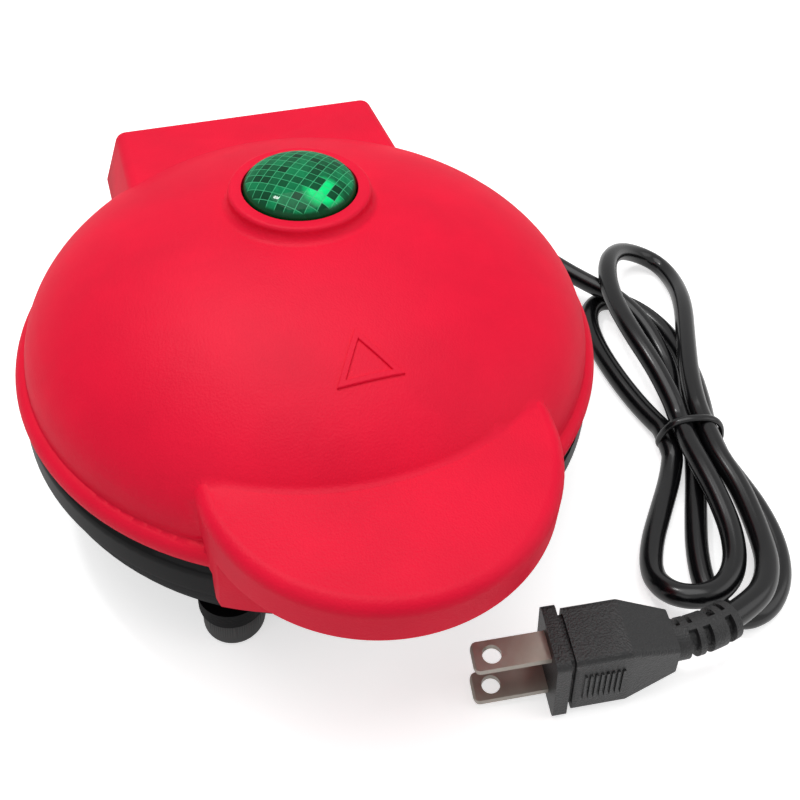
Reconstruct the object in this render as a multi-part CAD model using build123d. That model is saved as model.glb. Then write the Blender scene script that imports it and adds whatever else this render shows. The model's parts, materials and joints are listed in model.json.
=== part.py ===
from build123d import *
from math import cos, pi, radians, sin, sqrt, tan
import os

# Mini sandwich press in millimetres. +Z is up, the handle points to -Y and the hinge to +Y.
# Everything is drawn round the body's own axis and moved to the middle of its footprint at the end.

# Body
lip_radius = 68.0
rim_band = 9.3
wall = 2.2
foot_height = 9.0
bowl_height = 17.8
ring_height = 8.0
seam_gap = 1.4
lip_height = 5.2
lip_step = 2.7
lip_bulge = 1.9
dome_rise = 29.9
ring_inset = 0.7
ring_edge_inset = 0.4
bowl_inset = 1.1
floor_inset = 15.5
bowl_bulge = 3.6
bowl_inner_bulge = 3.0
ring_wall = 1.5
ring_shoulder = 3.0
tongue_height = 3.2
lip_edge = 1.4

# Clearances
seat_gap = 0.3
slide_gap = 0.05
head_gap = 0.1
screw_room = 0.4
plate_gap = 0.4

# Cooking plates
plate_skirt = 2.0
plate_land = 7.2
plate_depth = 5.0
plate_floor = 2.5
plate_draft = 2.0
plate_wall = 2.5
rib_height = 2.0
rib_width = 2.4
rib_pitch = 9.0
rib_count = 9
rib_round = 0.6
rib_end_gap = 1.0
plate_edge = 0.5
ledge_width = 5.7
ledge_height = 2.0
skirt_height = 4.2

# Heating
boss_height = 9.5
boss_radius = 4.0
boss_inset = 0.5
boss_sink = 0.5
middle_boss_radius = 3.5
boss_hole_cover = 0.8
element_gap = 4.25
element_radius = 3.25
element_pin_spacing = 8.0
pins_past_bosses = 2.5
shield_thickness = 0.8
strap_width = 10.0
strap_thickness = 1.0
lead_notch_width = 16.0
lead_notch_reach = 3.5
shield_flare = 4.0
thermostat_y = 18.0
thermostat_flange_length = 17.0
thermostat_flange_width = 7.0
thermostat_flange_thickness = 1.0
thermostat_can_radius = 6.0
thermostat_can_height = 7.0
fuse_y = -16.0
fuse_can_radius = 1.7
fuse_can_half = 6.0
fuse_wire_radius = 0.5
fuse_wire_half = 9.0
terminal_setback = 16.2
terminal_half = 9.0
terminal_half_depth = 3.5
terminal_height = 5.0
terminal_groove_width = 1.2
terminal_groove_depth = 1.2
terminal_screw_radius = 1.6
lead_spacing = 3.4
lead_entry_height = 2.0
lead_overhang = 7.5
lead_bend = 4.5
lead_rise = 9.0
lead_radius = 0.9

# Hinge
pin_radius = 1.5
pin_setback = 4.8
pin_lift = 4.0
knuckle_radius = 3.8
knuckle_gap = 0.4
hinge_half_width = 30.0
knuckle_length = 5.6
block_rear = 3.0
box_rise = 18.7
box_skirt = 5.0
box_half_top = 35.0
box_half_bottom = 39.5
box_round = 3.0
block_depth = 24.2
block_round = 2.0
knuckle_root = 4.0
box_depth = 39.6

# Handle
handle_radius = 37.0
handle_reach = 86.6
handle_thickness = 10.4
handle_lift = 11.5
handle_round = 3.0
handle_low_round = 1.0
handle_cover_thickness = 2.0
handle_cover_gap = 0.15
handle_boss_radius = 2.5
apron_drop = 14.2
apron_thickness = 1.8
apron_gap = 0.6
handle_screw_x = 12.0
handle_screw_length = 5.0

# Indicator
lens_y = 9.4
lens_radius = 12.8
lens_rise = 4.4
collar_radius = 16.2
collar_height = 2.9
collar_fillet = 2.4
collar_round = 1.0
lens_skirt = 8.2
lens_flange = 1.2
lens_wall = 2.0
holder_radius = 10.5
holder_depth = 6.2
holder_plate = 1.8
holder_wall = 1.5
holder_floor = 1.0
ear_width = 6.0
ear_boss_radius = 2.8
holder_screw_x = 18.6
holder_screw_length = 4.6
board_thickness = 1.2
lamp_radius = 2.5
lamp_height = 6.5
lamp_round = 2.2

# Raised triangle on the dome
triangle_base_y = -43.4
triangle_apex_y = -32.5
triangle_half_width = 6.8
triangle_line = 1.0
triangle_relief = 0.5
triangle_side_share = 1.9
triangle_tip_share = 2.0

# Feet
foot_radius = 6.8
foot_overhang = 4.08
foot_angle = 56.17
foot_round = 2.5
foot_stem = 2.4
stem_length = 3.0
pad_rim = 0.6
pad_height = 4.4

# Bottom cover
cover_gap = 4.7
cover_seat = 5.8
cover_thickness = 1.2
cover_screw_inset = 2.8
post_radius = 2.6
post_height = 3.4
cover_screw_length = 4.0
slot_count = 6
slot_pitch = 7.0
slot_width = 2.4
slot_length = 34.0

# Screws: shank radius, head radius and head height
plate_screw = (1.55, 2.9, 2.2)
lid_plate_screw = (1.55, 2.9, 1.4)
clamp_screw = (1.55, 2.8, 0.7)
small_screw = (1.0, 1.9, 1.0)
cover_screw = (1.0, 1.9, 0.7)
ring_screw = (0.8, 1.4, 0.5)
plate_screw_grip = 6.0
ring_screw_length = 3.4
ring_flange = 0.9
ring_flange_inset = 1.6

# Cord
cord_diameter = 5.6
relief_length = 20.0
relief_setback = 6.2
relief_z = 15.4
relief_root = 3.8
relief_tip = 3.3
relief_neck = 3.2
relief_flange = 0.6
relief_collar = 1.2
relief_wall_gap = 0.1
tie_thickness = 1.0
tie_width = 2.6
tie_x, tie_y = 93.5, -35.5
tie_heading = 77.0
tie_gap = 0.12
strand_pitch = 6.2
strand_rise = 5.35
strand_run = 9.0
bundle_z = 4.0

# Plug
plug_x, plug_y, plug_z = 26.8, -83.2, 10.6
plug_yaw = -11.0
plug_pitch = 5.0
plug_height = 19.5
plug_width = 13.2
flange_height = 20.8
flange_width = 14.6
flange_thickness = 3.0
neck_length = 1.2
plug_shoulder = 16.0
plug_length = 27.0
plug_tail = 10.0
blade_length = 15.9
blade_width = 6.35
blade_thickness = 1.5
blade_spacing = 12.7
blade_hole = 2.0
blade_hole_reach = 11.7
blade_root = 6.0
relief_run = 16.0
relief_bend = (-0.6, 3.4, -1.4)
relief_core = 2.9
relief_ring = 4.4
relief_rings = 5
relief_ring_length = 2.0
grip_ribs = 8
grip_pitch = 1.15

# Heights and radii that follow
bowl_bottom_z = foot_height
ring_bottom_z = bowl_bottom_z + bowl_height
base_top_z = ring_bottom_z + ring_height
parting_z = base_top_z + seam_gap / 2
lid_bottom_z = base_top_z + seam_gap
dome_z = lid_bottom_z + lip_height
dome_radius = lip_radius - lip_step
dome_top_z = dome_z + dome_rise
ring_radius = lip_radius - ring_inset
ring_edge_radius = lip_radius - ring_edge_inset
bowl_radius = lip_radius - bowl_inset
floor_radius = lip_radius - floor_inset
foot_circle = floor_radius + foot_overhang
foot_x = foot_circle * cos(radians(foot_angle))
foot_y = foot_circle * sin(radians(foot_angle))
ring_wall_inner = bowl_radius - ring_wall
tongue_outer = ring_wall_inner - seat_gap
plate_radius = lip_radius - rim_band
land_inner = plate_radius - plate_land
recess_radius = land_inner - plate_draft
boss_circle = recess_radius + plate_wall - boss_radius - boss_inset
cover_radius = boss_circle - cover_gap
cover_opening = cover_radius - cover_seat
cover_screw_circle = cover_radius - cover_screw_inset
lead_notch_y = boss_circle - lead_notch_reach
element_circle = boss_circle - boss_radius - element_gap - element_radius
element_pin_reach = boss_circle + pins_past_bosses
plate_land_z = parting_z - plate_gap / 2
plate_floor_z = plate_land_z - plate_depth
plate_back_z = plate_floor_z - plate_floor
ledge_z = plate_land_z - skirt_height
boss_z = plate_back_z - boss_height
strap_z = plate_back_z - 2 * element_radius - 2 * seat_gap
element_z = plate_back_z - seat_gap - element_radius
shield_z = boss_z - shield_thickness
skirt_inner = plate_radius + seat_gap
skirt_outer = skirt_inner + wall
ledge_inner = skirt_inner - ledge_width / 2 - 0.65
pin_y = lip_radius - pin_setback
pin_z = parting_z + pin_lift
rear_y = pin_y + block_rear
block_front = rear_y - block_depth
terminal_y = rear_y - terminal_setback
relief_y = rear_y - relief_setback
relief_inner_x = hinge_half_width - wall - 2 * relief_wall_gap - relief_collar
box_inner_y = pin_y + knuckle_radius + knuckle_gap
box_outer_y = box_inner_y + wall
box_front = box_outer_y - box_depth
box_top_z = pin_z + box_rise
box_bottom_z = pin_z + box_skirt
lug_outer = hinge_half_width - knuckle_length - knuckle_gap
handle_y = handle_radius - handle_reach
handle_top_z = dome_z + handle_lift
handle_bottom_z = handle_top_z - handle_thickness
apron_inner = ring_edge_radius + apron_gap
apron_outer = apron_inner + apron_thickness
apron_bottom_z = handle_bottom_z - apron_drop
collar_top_z = dome_top_z + collar_height
lens_flange_z = collar_top_z - lens_skirt
holder_top_z = lens_flange_z - lens_flange
board_z = holder_top_z - holder_depth
floor_z = bowl_bottom_z + wall
ring_flange_z = lid_bottom_z - ring_flange
cord_radius = cord_diameter / 2
footprint_shift = (handle_reach - box_outer_y) / 2


def turned(*points):
    """Solid of revolution about Z from a closed outline of (radius, height) points."""
    return revolve(Plane.XZ * make_face(Polyline(*points, close=True)), Axis.Z)


def turned_edges(edges):
    """Solid of revolution about Z from a closed chain of edges drawn as (radius, height)."""
    return revolve(Plane.XZ * make_face(Curve() + edges), Axis.Z)


def bulged(start, end, rise):
    """Arc from start to end that stands off its chord by rise, to the right of the way."""
    dx, dy = end[0] - start[0], end[1] - start[1]
    length = sqrt(dx * dx + dy * dy)
    middle = ((start[0] + end[0]) / 2 + rise * dy / length, (start[1] + end[1]) / 2 - rise * dx / length)
    return ThreePointArc(start, middle, end)


def drum(radius, z_low, z_high, x=0.0, y=0.0):
    """Upright cylinder between two heights."""
    return Pos(x, y, (z_low + z_high) / 2) * Cylinder(radius, z_high - z_low)


def block(x_low, x_high, y_low, y_high, z_low, z_high):
    """Box between three pairs of limits."""
    centre = Pos((x_low + x_high) / 2, (y_low + y_high) / 2, (z_low + z_high) / 2)
    return centre * Box(x_high - x_low, y_high - y_low, z_high - z_low)


def along_x(radius, x_low, x_high, y, z):
    """Cylinder along X."""
    return Pos((x_low + x_high) / 2, y, z) * Rot(0, 90, 0) * Cylinder(radius, x_high - x_low)


def screw(size, x, y, seat_z, length, up=1):
    """Screw whose head rests on seat_z; the shank goes up, or down with up=-1."""
    shank, head, head_height = size
    head_low, head_high = sorted((seat_z, seat_z - up * head_height))
    shank_low, shank_high = sorted((seat_z, seat_z + up * length))
    return drum(head, head_low, head_high, x, y) + drum(shank, shank_low, shank_high, x, y)


def on_circle(radius, angles):
    """Points at the given angles on a circle about the body's axis."""
    return [(radius * cos(radians(a)), radius * sin(radians(a))) for a in angles]


def upper(shape):
    """The lid's copy of a base piece, mirrored in the parting plane."""
    return mirror(shape, Plane.XY.offset(parting_z))


boss_points = on_circle(boss_circle, (30, 150, 270))
cover_screw_points = on_circle(cover_screw_circle, (90, 210, 330))


# Smooth tubes
def unit(vector):
    """Vector of length one."""
    return vector * (1 / vector.length)


def biarc(start, start_way, end, end_way):
    """Two arcs that leave start along start_way and reach end along end_way."""
    chord = end - start
    total = start_way + end_way
    lead = chord.dot(total)
    spread = 2 * (1 - start_way.dot(end_way))
    if spread < 1e-9:
        reach = chord.dot(chord) / (4 * chord.dot(end_way))
    else:
        reach = (sqrt(lead * lead + spread * chord.dot(chord)) - lead) / spread
    first = start + start_way * reach
    second = end - end_way * reach
    middle = (first + second) * 0.5
    return [arc_or_line(start, start_way, middle), arc_or_line(middle, unit(second - first), end)]


def arc_or_line(start, way, end):
    """Arc from start along way to end, or a line where they are in line."""
    if way.cross(unit(end - start)).length < 1e-6:
        return Line(start, end)
    return TangentArc(start, end, tangent=way)


def smooth_path(knots):
    """Chain of arcs through (point, direction) pairs."""
    edges = []
    for (start, start_way), (end, end_way) in zip(knots, knots[1:]):
        edges += biarc(start, start_way, end, end_way)
    return Wire(edges)


def round_tube(path, radius):
    """Round tube along a path."""
    return sweep(Plane(path @ 0, z_dir=path % 0) * Circle(radius), path=path)


def bent_path(points, smallest=0.0):
    """Straight runs joined by the largest arcs that the runs allow, with the arcs' radii."""
    corners = [Vector(*p) for p in points]
    radii = []
    for before, corner, after in zip(corners, corners[1:], corners[2:]):
        turn = radians((corner - before).get_angle(after - corner))
        shorter = min((corner - before).length, (after - corner).length)
        radii.append(max(smallest, 0.45 * shorter / tan(turn / 2)))
    return FilletPolyline(*corners, radius=radii), radii


def lead(points):
    """Insulated lead along straight runs with round corners."""
    path, _ = bent_path(points)
    return round_tube(path, lead_radius)


# Base
def hinge_block():
    """Outer block at the back of the bowl that carries the hinge."""
    top_z = base_top_z - seat_gap
    body = block(-hinge_half_width, hinge_half_width, block_front, rear_y, bowl_bottom_z, top_z)
    body = fillet(body.edges().filter_by(Axis.Z).group_by(Axis.Y)[-1], block_round)
    return body - drum(skirt_outer + seat_gap, ring_bottom_z - wall, base_top_z)


def base_knuckle(side):
    """Outer hinge knuckle with the web that stands on the hinge block."""
    near, far = sorted((side * (hinge_half_width - knuckle_length), side * hinge_half_width))
    eye = along_x(knuckle_radius, near, far, pin_y, pin_z)
    return eye + block(near, far, pin_y - knuckle_radius, rear_y, base_top_z - knuckle_root, pin_z)


def base_bowl():
    """Lower casing: bowl, foot pads, posts, hinge block and knuckles."""
    tongue_inner = tongue_outer - wall
    tongue_z = ring_bottom_z + tongue_height
    outside = turned_edges([
        Line((0, bowl_bottom_z), (floor_radius, bowl_bottom_z)),
        bulged((floor_radius, bowl_bottom_z), (bowl_radius, ring_bottom_z), bowl_bulge),
        Line((bowl_radius, ring_bottom_z), (tongue_outer, ring_bottom_z)),
        Line((tongue_outer, ring_bottom_z), (tongue_outer, tongue_z)),
        Line((tongue_outer, tongue_z), (0, tongue_z)),
        Line((0, tongue_z), (0, bowl_bottom_z)),
    ])
    inside = turned_edges([
        Line((0, floor_z), (floor_radius, floor_z)),
        bulged((floor_radius, floor_z), (tongue_inner, ring_bottom_z - wall), bowl_inner_bulge),
        Line((tongue_inner, ring_bottom_z - wall), (tongue_inner, base_top_z)),
        Line((tongue_inner, base_top_z), (0, base_top_z)),
        Line((0, base_top_z), (0, floor_z)),
    ])
    inner_half = hinge_half_width - wall
    room_top = ring_bottom_z + tongue_height / 2
    inside += block(-inner_half, inner_half, block_front - wall, rear_y - wall, floor_z, room_top)
    shell = outside + hinge_block() - inside
    for x in (-foot_x, foot_x):
        for y in (-foot_y, foot_y):
            shell += drum(foot_radius + pad_rim, bowl_bottom_z, bowl_bottom_z + pad_height, x, y)
    for x, y in boss_points:
        shell += drum(boss_radius, floor_z - boss_sink, shield_z, x, y)
    for x, y in cover_screw_points:
        shell += drum(post_radius, bowl_bottom_z + cover_thickness, floor_z + post_height, x, y)
    for side in (-1, 1):
        shell += base_knuckle(side)
    shell -= block(-lip_radius, lip_radius, rear_y, lip_radius + wall, 0, base_top_z)
    return shell - bowl_holes()


def bowl_holes():
    """Openings and screw holes of the bowl."""
    shank, head, head_height = plate_screw
    holes = drum(cover_opening, bowl_bottom_z - 1, bowl_bottom_z + wall + 1)
    holes += drum(cover_radius + slide_gap, bowl_bottom_z - 1, bowl_bottom_z + cover_thickness)
    for x, y in boss_points:
        holes += drum(head + 2 * head_gap, bowl_bottom_z - 1, bowl_bottom_z + screw_room + head_height, x, y)
        holes += drum(shank + slide_gap, bowl_bottom_z, shield_z + 1, x, y)
    for x, y in cover_screw_points:
        depth = cover_screw[2] + cover_screw_length + screw_room
        holes += drum(cover_screw[0] + slide_gap, bowl_bottom_z, bowl_bottom_z + depth, x, y)
    for x in (-foot_x, foot_x):
        for y in (-foot_y, foot_y):
            high = bowl_bottom_z + stem_length + screw_room
            holes += drum(foot_stem + slide_gap, bowl_bottom_z - 1, high, x, y)
    reach = hinge_half_width + 1
    holes += along_x(pin_radius + slide_gap, -reach, reach, pin_y, pin_z)
    neck_hole = relief_neck + relief_wall_gap
    holes += along_x(neck_hole, hinge_half_width - wall - 1, reach, relief_y, relief_z)
    return holes


def rear_notch():
    """Room at the back of a rim for the hinge block and the knuckles."""
    half = hinge_half_width + knuckle_gap
    notch = block(-half, half, block_front, lip_radius + wall, ring_bottom_z - 10, box_bottom_z)
    return notch - drum(skirt_outer + head_gap, ring_bottom_z - 10, box_bottom_z)


def base_ring():
    """Glossy flange ring with a round shoulder and the ledge for the lower plate."""
    top_low = base_top_z - wall
    shoulder_x = ring_radius - ring_shoulder
    ring = turned_edges([
        Line((skirt_inner, base_top_z), (shoulder_x, base_top_z)),
        RadiusArc((shoulder_x, base_top_z), (ring_radius, base_top_z - ring_shoulder), ring_shoulder),
        Line((ring_radius, base_top_z - ring_shoulder), (ring_edge_radius, ring_bottom_z + 1.4)),
        Line((ring_edge_radius, ring_bottom_z + 1.4), (ring_edge_radius, ring_bottom_z + 0.6)),
        Line((ring_edge_radius, ring_bottom_z + 0.6), (bowl_radius, ring_bottom_z)),
        Line((bowl_radius, ring_bottom_z), (ring_wall_inner, ring_bottom_z)),
        Line((ring_wall_inner, ring_bottom_z), (ring_wall_inner, top_low)),
        Line((ring_wall_inner, top_low), (skirt_outer, top_low)),
        Line((skirt_outer, top_low), (skirt_outer, ledge_z - ledge_height)),
        Line((skirt_outer, ledge_z - ledge_height), (ledge_inner, ledge_z - ledge_height)),
        Line((ledge_inner, ledge_z - ledge_height), (ledge_inner, ledge_z)),
        Line((ledge_inner, ledge_z), (skirt_inner, ledge_z)),
        Line((skirt_inner, ledge_z), (skirt_inner, base_top_z)),
    ])
    return ring - rear_notch()


def foot(x, y):
    """Rubber foot with a rounded tread and a stem in the bowl."""
    tread = drum(foot_radius, 0, foot_height, x, y)
    tread = fillet(tread.edges().sort_by(Axis.Z)[0], foot_round)
    return tread + drum(foot_stem, foot_height, foot_height + stem_length, x, y)


def bottom_cover():
    """Cover of the bowl's opening, with air slots and countersunk holes."""
    shank, head, head_height = cover_screw
    cover = drum(cover_radius, bowl_bottom_z, bowl_bottom_z + cover_thickness)
    for index in range(slot_count):
        x = (index - (slot_count - 1) / 2) * slot_pitch
        slot = SlotOverall(slot_length, slot_width, rotation=90)
        cover -= Pos(x, 0, bowl_bottom_z - 1) * extrude(slot, cover_thickness + 2)
    for x, y in cover_screw_points:
        cover -= drum(head + head_gap, bowl_bottom_z - 1, bowl_bottom_z + head_height, x, y)
        cover -= drum(shank + slide_gap, bowl_bottom_z, bowl_bottom_z + cover_thickness + 1, x, y)
    return cover


def cover_screws():
    """Three screws of the bottom cover."""
    seat = bowl_bottom_z + cover_screw[2]
    return [screw(cover_screw, x, y, seat, cover_screw_length) for x, y in cover_screw_points]


def base_screws():
    """Three long screws from below through bowl and shield into the plate."""
    seat = bowl_bottom_z + screw_room + plate_screw[2]
    return [screw(plate_screw, x, y, seat, boss_z - seat + plate_screw_grip) for x, y in boss_points]


# Cooking plates
def lower_plate():
    """Ribbed plate with a land round it, a skirt and the bosses on its back."""
    skirt_in = plate_radius - plate_skirt
    land_back_z = plate_land_z - plate_skirt
    plate = turned(
        (0, plate_back_z), (recess_radius + plate_wall, plate_back_z), (land_inner + plate_wall, land_back_z),
        (skirt_in, land_back_z), (skirt_in, ledge_z), (plate_radius, ledge_z),
        (plate_radius, plate_land_z - plate_edge), (plate_radius - plate_edge, plate_land_z),
        (land_inner, plate_land_z), (recess_radius, plate_floor_z), (0, plate_floor_z),
    )
    for index in range(rib_count):
        x = (index - (rib_count - 1) / 2) * rib_pitch
        half = sqrt((recess_radius - rib_end_gap) ** 2 - x * x)
        rib = Pos(x, 0, plate_floor_z) * Box(rib_width, 2 * half, 2 * rib_height)
        plate += fillet(rib.edges().filter_by(Axis.Y).group_by(Axis.Z)[-1], rib_round)
    bosses = [(x, y, boss_radius, boss_z) for x, y in boss_points] + [(0, 0, middle_boss_radius, strap_z)]
    for x, y, radius, foot_z in bosses:
        plate += drum(radius, foot_z, plate_back_z + boss_sink, x, y)
        plate -= drum(plate_screw[0] + slide_gap, foot_z - 1, plate_back_z - boss_hole_cover, x, y)
    return plate


def lower_element():
    """Tubular heater: most of a circle with two parallel pins towards the hinge."""
    z = element_z
    half = element_pin_spacing / 2
    knots = [(Vector(half, element_pin_reach, z), Vector(0, -1, 0))]
    for angle in (72, 20, -35, -90, -145, -200, -252):
        a = radians(angle)
        place = Vector(element_circle * cos(a), element_circle * sin(a), z)
        knots.append((place, Vector(sin(a), -cos(a), 0)))
    knots.append((Vector(-half, element_pin_reach, z), Vector(0, 1, 0)))
    return round_tube(smooth_path(knots), element_radius)


def lower_element_clamp():
    """Flat strap across the element, pulled up to the plate's middle boss."""
    length = 2 * (element_circle + element_radius + 2)
    strap = Pos(0, 0, strap_z - strap_thickness / 2) * Box(length, strap_width, strap_thickness)
    return strap - drum(plate_screw[0] + slide_gap, shield_z, plate_back_z)


def lower_clamp_screw():
    """Screw of the clamp strap."""
    return screw(clamp_screw, 0, 0, strap_z - strap_thickness, plate_screw_grip)


def lower_heat_shield():
    """Sheet dish between the heater and the casing, with a notch for the leads."""
    t = shield_thickness
    ledge_low = ledge_z - ledge_height
    flat = boss_circle + boss_radius + seat_gap
    shield_radius = skirt_outer - screw_room
    shield = turned(
        (0, shield_z), (0, shield_z + t), (flat, shield_z + t), (flat + shield_flare, ledge_low),
        (shield_radius, ledge_low), (shield_radius, ledge_low - t),
        (flat + shield_flare + 0.75 * t, ledge_low - t), (flat + 0.75 * t, shield_z),
    )
    half = lead_notch_width / 2
    shield -= block(-half, half, lead_notch_y, lip_radius, shield_z - 1, ledge_z)
    for x, y in boss_points:
        shield -= drum(plate_screw[0] + slide_gap, shield_z - 1, boss_z + 1, x, y)
    return shield


def thermostat():
    """Bimetal thermostat on the back of the plate."""
    flange_z = plate_back_z - thermostat_flange_thickness
    half, deep = thermostat_flange_length / 2, thermostat_flange_width / 2
    flange = block(-half, half, thermostat_y - deep, thermostat_y + deep, flange_z, plate_back_z)
    return flange + drum(thermostat_can_radius, flange_z - thermostat_can_height, flange_z, 0, thermostat_y)


def thermal_fuse():
    """Thermal fuse under its clip on the back of the plate."""
    z = plate_back_z - seat_gap - fuse_can_radius
    can = along_x(fuse_can_radius, -fuse_can_half, fuse_can_half, fuse_y, z)
    return can + along_x(fuse_wire_radius, -fuse_wire_half, fuse_wire_half, fuse_y, z)


def terminal_block():
    """Two-way terminal block on the bowl's floor."""
    top_z = floor_z + terminal_height
    front, rear = terminal_y - terminal_half_depth, terminal_y + terminal_half_depth
    body = block(-terminal_half, terminal_half, front, rear, floor_z, top_z)
    half, low = terminal_groove_width / 2, top_z - terminal_groove_depth
    body -= block(-half, half, front - 1, rear + 1, low, top_z + 1)
    for side in (-1, 1):
        body -= drum(terminal_screw_radius, low, top_z + 1, side * terminal_half / 2, terminal_y)
    return body


def base_leads():
    """Leads from the heater's pins down to the terminal block, and from there to the cord."""
    half = element_pin_spacing / 2
    middle_z = floor_z + terminal_height / 2
    turn_y = element_pin_reach + lead_overhang
    leads = []
    for side in (-1, 1):
        x = side * half
        leads.append(lead([
            (x, element_pin_reach, element_z), (x, turn_y - 3, element_z), (x, turn_y, element_z - lead_bend),
            (x, turn_y, floor_z + terminal_height), (x, turn_y - 1.3, middle_z),
            (x, terminal_y + terminal_half_depth, middle_z),
        ]))
    for side in (-1, 1):
        y, far_y = terminal_y + side * lead_spacing / 2, relief_y + side * 1.3
        z = floor_z + lead_entry_height
        leads.append(lead([
            (terminal_half, y, z), (terminal_half + 5, y, z),
            (hinge_half_width - 11, far_y, relief_z), (relief_inner_x, far_y, relief_z),
        ]))
    return leads


def hinge_pin():
    """Steel pin through the four knuckles."""
    reach = hinge_half_width - 0.5
    return along_x(pin_radius, -reach, reach, pin_y, pin_z)


# Lid
def ellipse_dome(radius, rise, z):
    """Solid half ellipsoid of revolution that stands on height z."""
    arc = EllipticalCenterArc((0, z), radius, rise, start_angle=0, arc_size=90)
    return turned_edges([arc, Line((0, z + rise), (0, z)), Line((0, z), (radius, z))])


def lid_body_outside():
    """Dome and rounded lip."""
    low_edge = lip_radius - lip_edge
    return turned_edges([
        EllipticalCenterArc((0, dome_z), dome_radius, dome_rise, start_angle=0, arc_size=90),
        Line((0, dome_top_z), (0, lid_bottom_z)),
        Line((0, lid_bottom_z), (low_edge, lid_bottom_z)),
        bulged((low_edge, lid_bottom_z), (dome_radius, dome_z), lip_bulge),
    ])


def tapered_box(half_top, half_bottom, y_low, y_high, z_low, z_high):
    """Box with sloping sides."""
    middle = Pos(0, (y_low + y_high) / 2)
    bottom = Plane.XY.offset(z_low) * middle * Rectangle(2 * half_bottom, y_high - y_low)
    top = Plane.XY.offset(z_high) * Pos(0, (y_low + y_high) / 2) * Rectangle(2 * half_top, y_high - y_low)
    return loft([bottom, top], ruled=True)


def hinge_box_outside():
    """Box at the back of the lid that covers the hinge."""
    sizes = (box_half_top, box_half_bottom, box_front, box_outer_y, box_bottom_z, box_top_z)
    body = tapered_box(*sizes)
    edges = body.edges().group_by(Axis.Y)[-1].sort_by(Axis.Z)[1:]
    edges += body.edges().group_by(Axis.Z)[-1].filter_by(Axis.Y)
    return fillet(edges, box_round)


def hinge_box_inside():
    """Room inside the hinge box, open at the bottom between the knuckles."""
    slope = (box_half_bottom - box_half_top) / (box_top_z - box_bottom_z)
    low, high = box_bottom_z + wall, box_top_z - wall
    half_low = box_half_bottom - slope * wall - wall
    half_high = box_half_top + slope * wall - wall
    room = tapered_box(half_high, half_low, box_front, box_inner_y, low, high)
    open_half = hinge_half_width + knuckle_gap
    return room + block(-open_half, open_half, box_front, box_inner_y, lid_bottom_z, low + 0.1)


def handle_outside():
    """Crescent handle: the part of a disc that stands out of the dome."""
    disc = Rot(0, 0, 90) * drum(handle_radius, handle_bottom_z, handle_top_z)
    disc = fillet(disc.edges().sort_by(Axis.Z)[-1], handle_round)
    disc = fillet(disc.edges().sort_by(Axis.Z)[0], handle_low_round)
    return Pos(0, handle_y, 0) * disc


def handle_room(clearance, z_low, z_high):
    """Crescent inside the handle, narrower than its walls by clearance."""
    disc = drum(handle_radius - wall - clearance, z_low, z_high, 0, handle_y)
    return disc - drum(apron_outer + screw_room + clearance, z_low - 1, z_high + 1)


def apron():
    """Curved skirt below the handle, in front of the base ring."""
    low = drum(apron_outer, apron_bottom_z, handle_bottom_z + 1)
    low -= drum(apron_inner, apron_bottom_z - 1, lid_bottom_z)
    low -= drum(lip_radius - 2, lid_bottom_z - 1, handle_bottom_z + 2)
    return low & block(-handle_radius, handle_radius, -lip_radius - 20, handle_y, 0, 80) \
        & drum(handle_radius, 0, 80, 0, handle_y)


def raised_triangle():
    """Plain raised triangle frame on the dome."""
    def outline(inset):
        half = triangle_half_width - inset * triangle_side_share
        base, apex = triangle_base_y + inset, triangle_apex_y - inset * triangle_tip_share
        return make_face(Polyline((-half, base), (half, base), (0, apex), close=True))

    frame = extrude(Plane.XY.offset(dome_z) * (outline(0) - outline(triangle_line)), dome_rise + 5)
    return frame & ellipse_dome(dome_radius + triangle_relief, dome_rise + triangle_relief, dome_z)


def collar():
    """Round collar that holds the indicator lens."""
    ring = drum(collar_radius, dome_z + 20, collar_top_z, 0, lens_y)
    return fillet(ring.edges().sort_by(Axis.Z)[-1], collar_round)


def lid_shell():
    """Red moulding: dome, lip, hinge box, handle, apron, collar and the bosses inside."""
    outside = lid_body_outside() + hinge_box_outside() + handle_outside() + apron()
    outside += raised_triangle()
    with_collar = outside + collar()
    rim = [e for e in with_collar.edges() if is_collar_joint(e)]
    shell = fillet(rim, collar_fillet) if rim else with_collar
    room = ellipse_dome(dome_radius - wall, dome_rise - wall, dome_z) + hinge_box_inside()
    room += drum(dome_radius - wall, lid_bottom_z - 1, dome_z)
    shell -= room
    shell -= handle_room(0, handle_bottom_z - 1, handle_top_z - wall)
    shell += lid_bosses(room)
    shell -= rear_notch_lid()
    for side in (-1, 1):
        shell += lid_lug(side)
    return shell - lid_holes()


def is_collar_joint(edge):
    """True for the edge where the collar meets the dome."""
    box = edge.bounding_box()
    round_size = abs(box.size.X - 2 * collar_radius) < 0.2 and abs(box.size.Y - 2 * collar_radius) < 0.2
    return round_size and box.max.Z < collar_top_z - 1.2 * collar_round


def lid_bosses(room):
    """Bosses under the dome for the lens, the lamp holder and the handle cover."""
    seat = drum(collar_radius, lens_flange_z, dome_top_z, 0, lens_y)
    for side in (-1, 1):
        seat += drum(ear_boss_radius, holder_top_z, dome_top_z, side * holder_screw_x, lens_y)
    bosses = seat & (room + drum(collar_radius + 8, dome_z, dome_top_z - wall / 2, 0, lens_y))
    bosses = bosses & ellipse_dome(dome_radius - wall / 2, dome_rise - wall / 2, dome_z)
    for side in (-1, 1):
        low, high = handle_bottom_z + handle_cover_thickness, handle_top_z - wall / 2
        bosses += drum(handle_boss_radius, low, high, side * handle_screw_x, handle_screw_y())
    return bosses


def rear_notch_lid():
    """Room at the back of the lip for the knuckles."""
    half = hinge_half_width + knuckle_gap
    return block(-half, half, block_front + 3, box_outer_y + 1, lid_bottom_z - 1, box_bottom_z)


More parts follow.
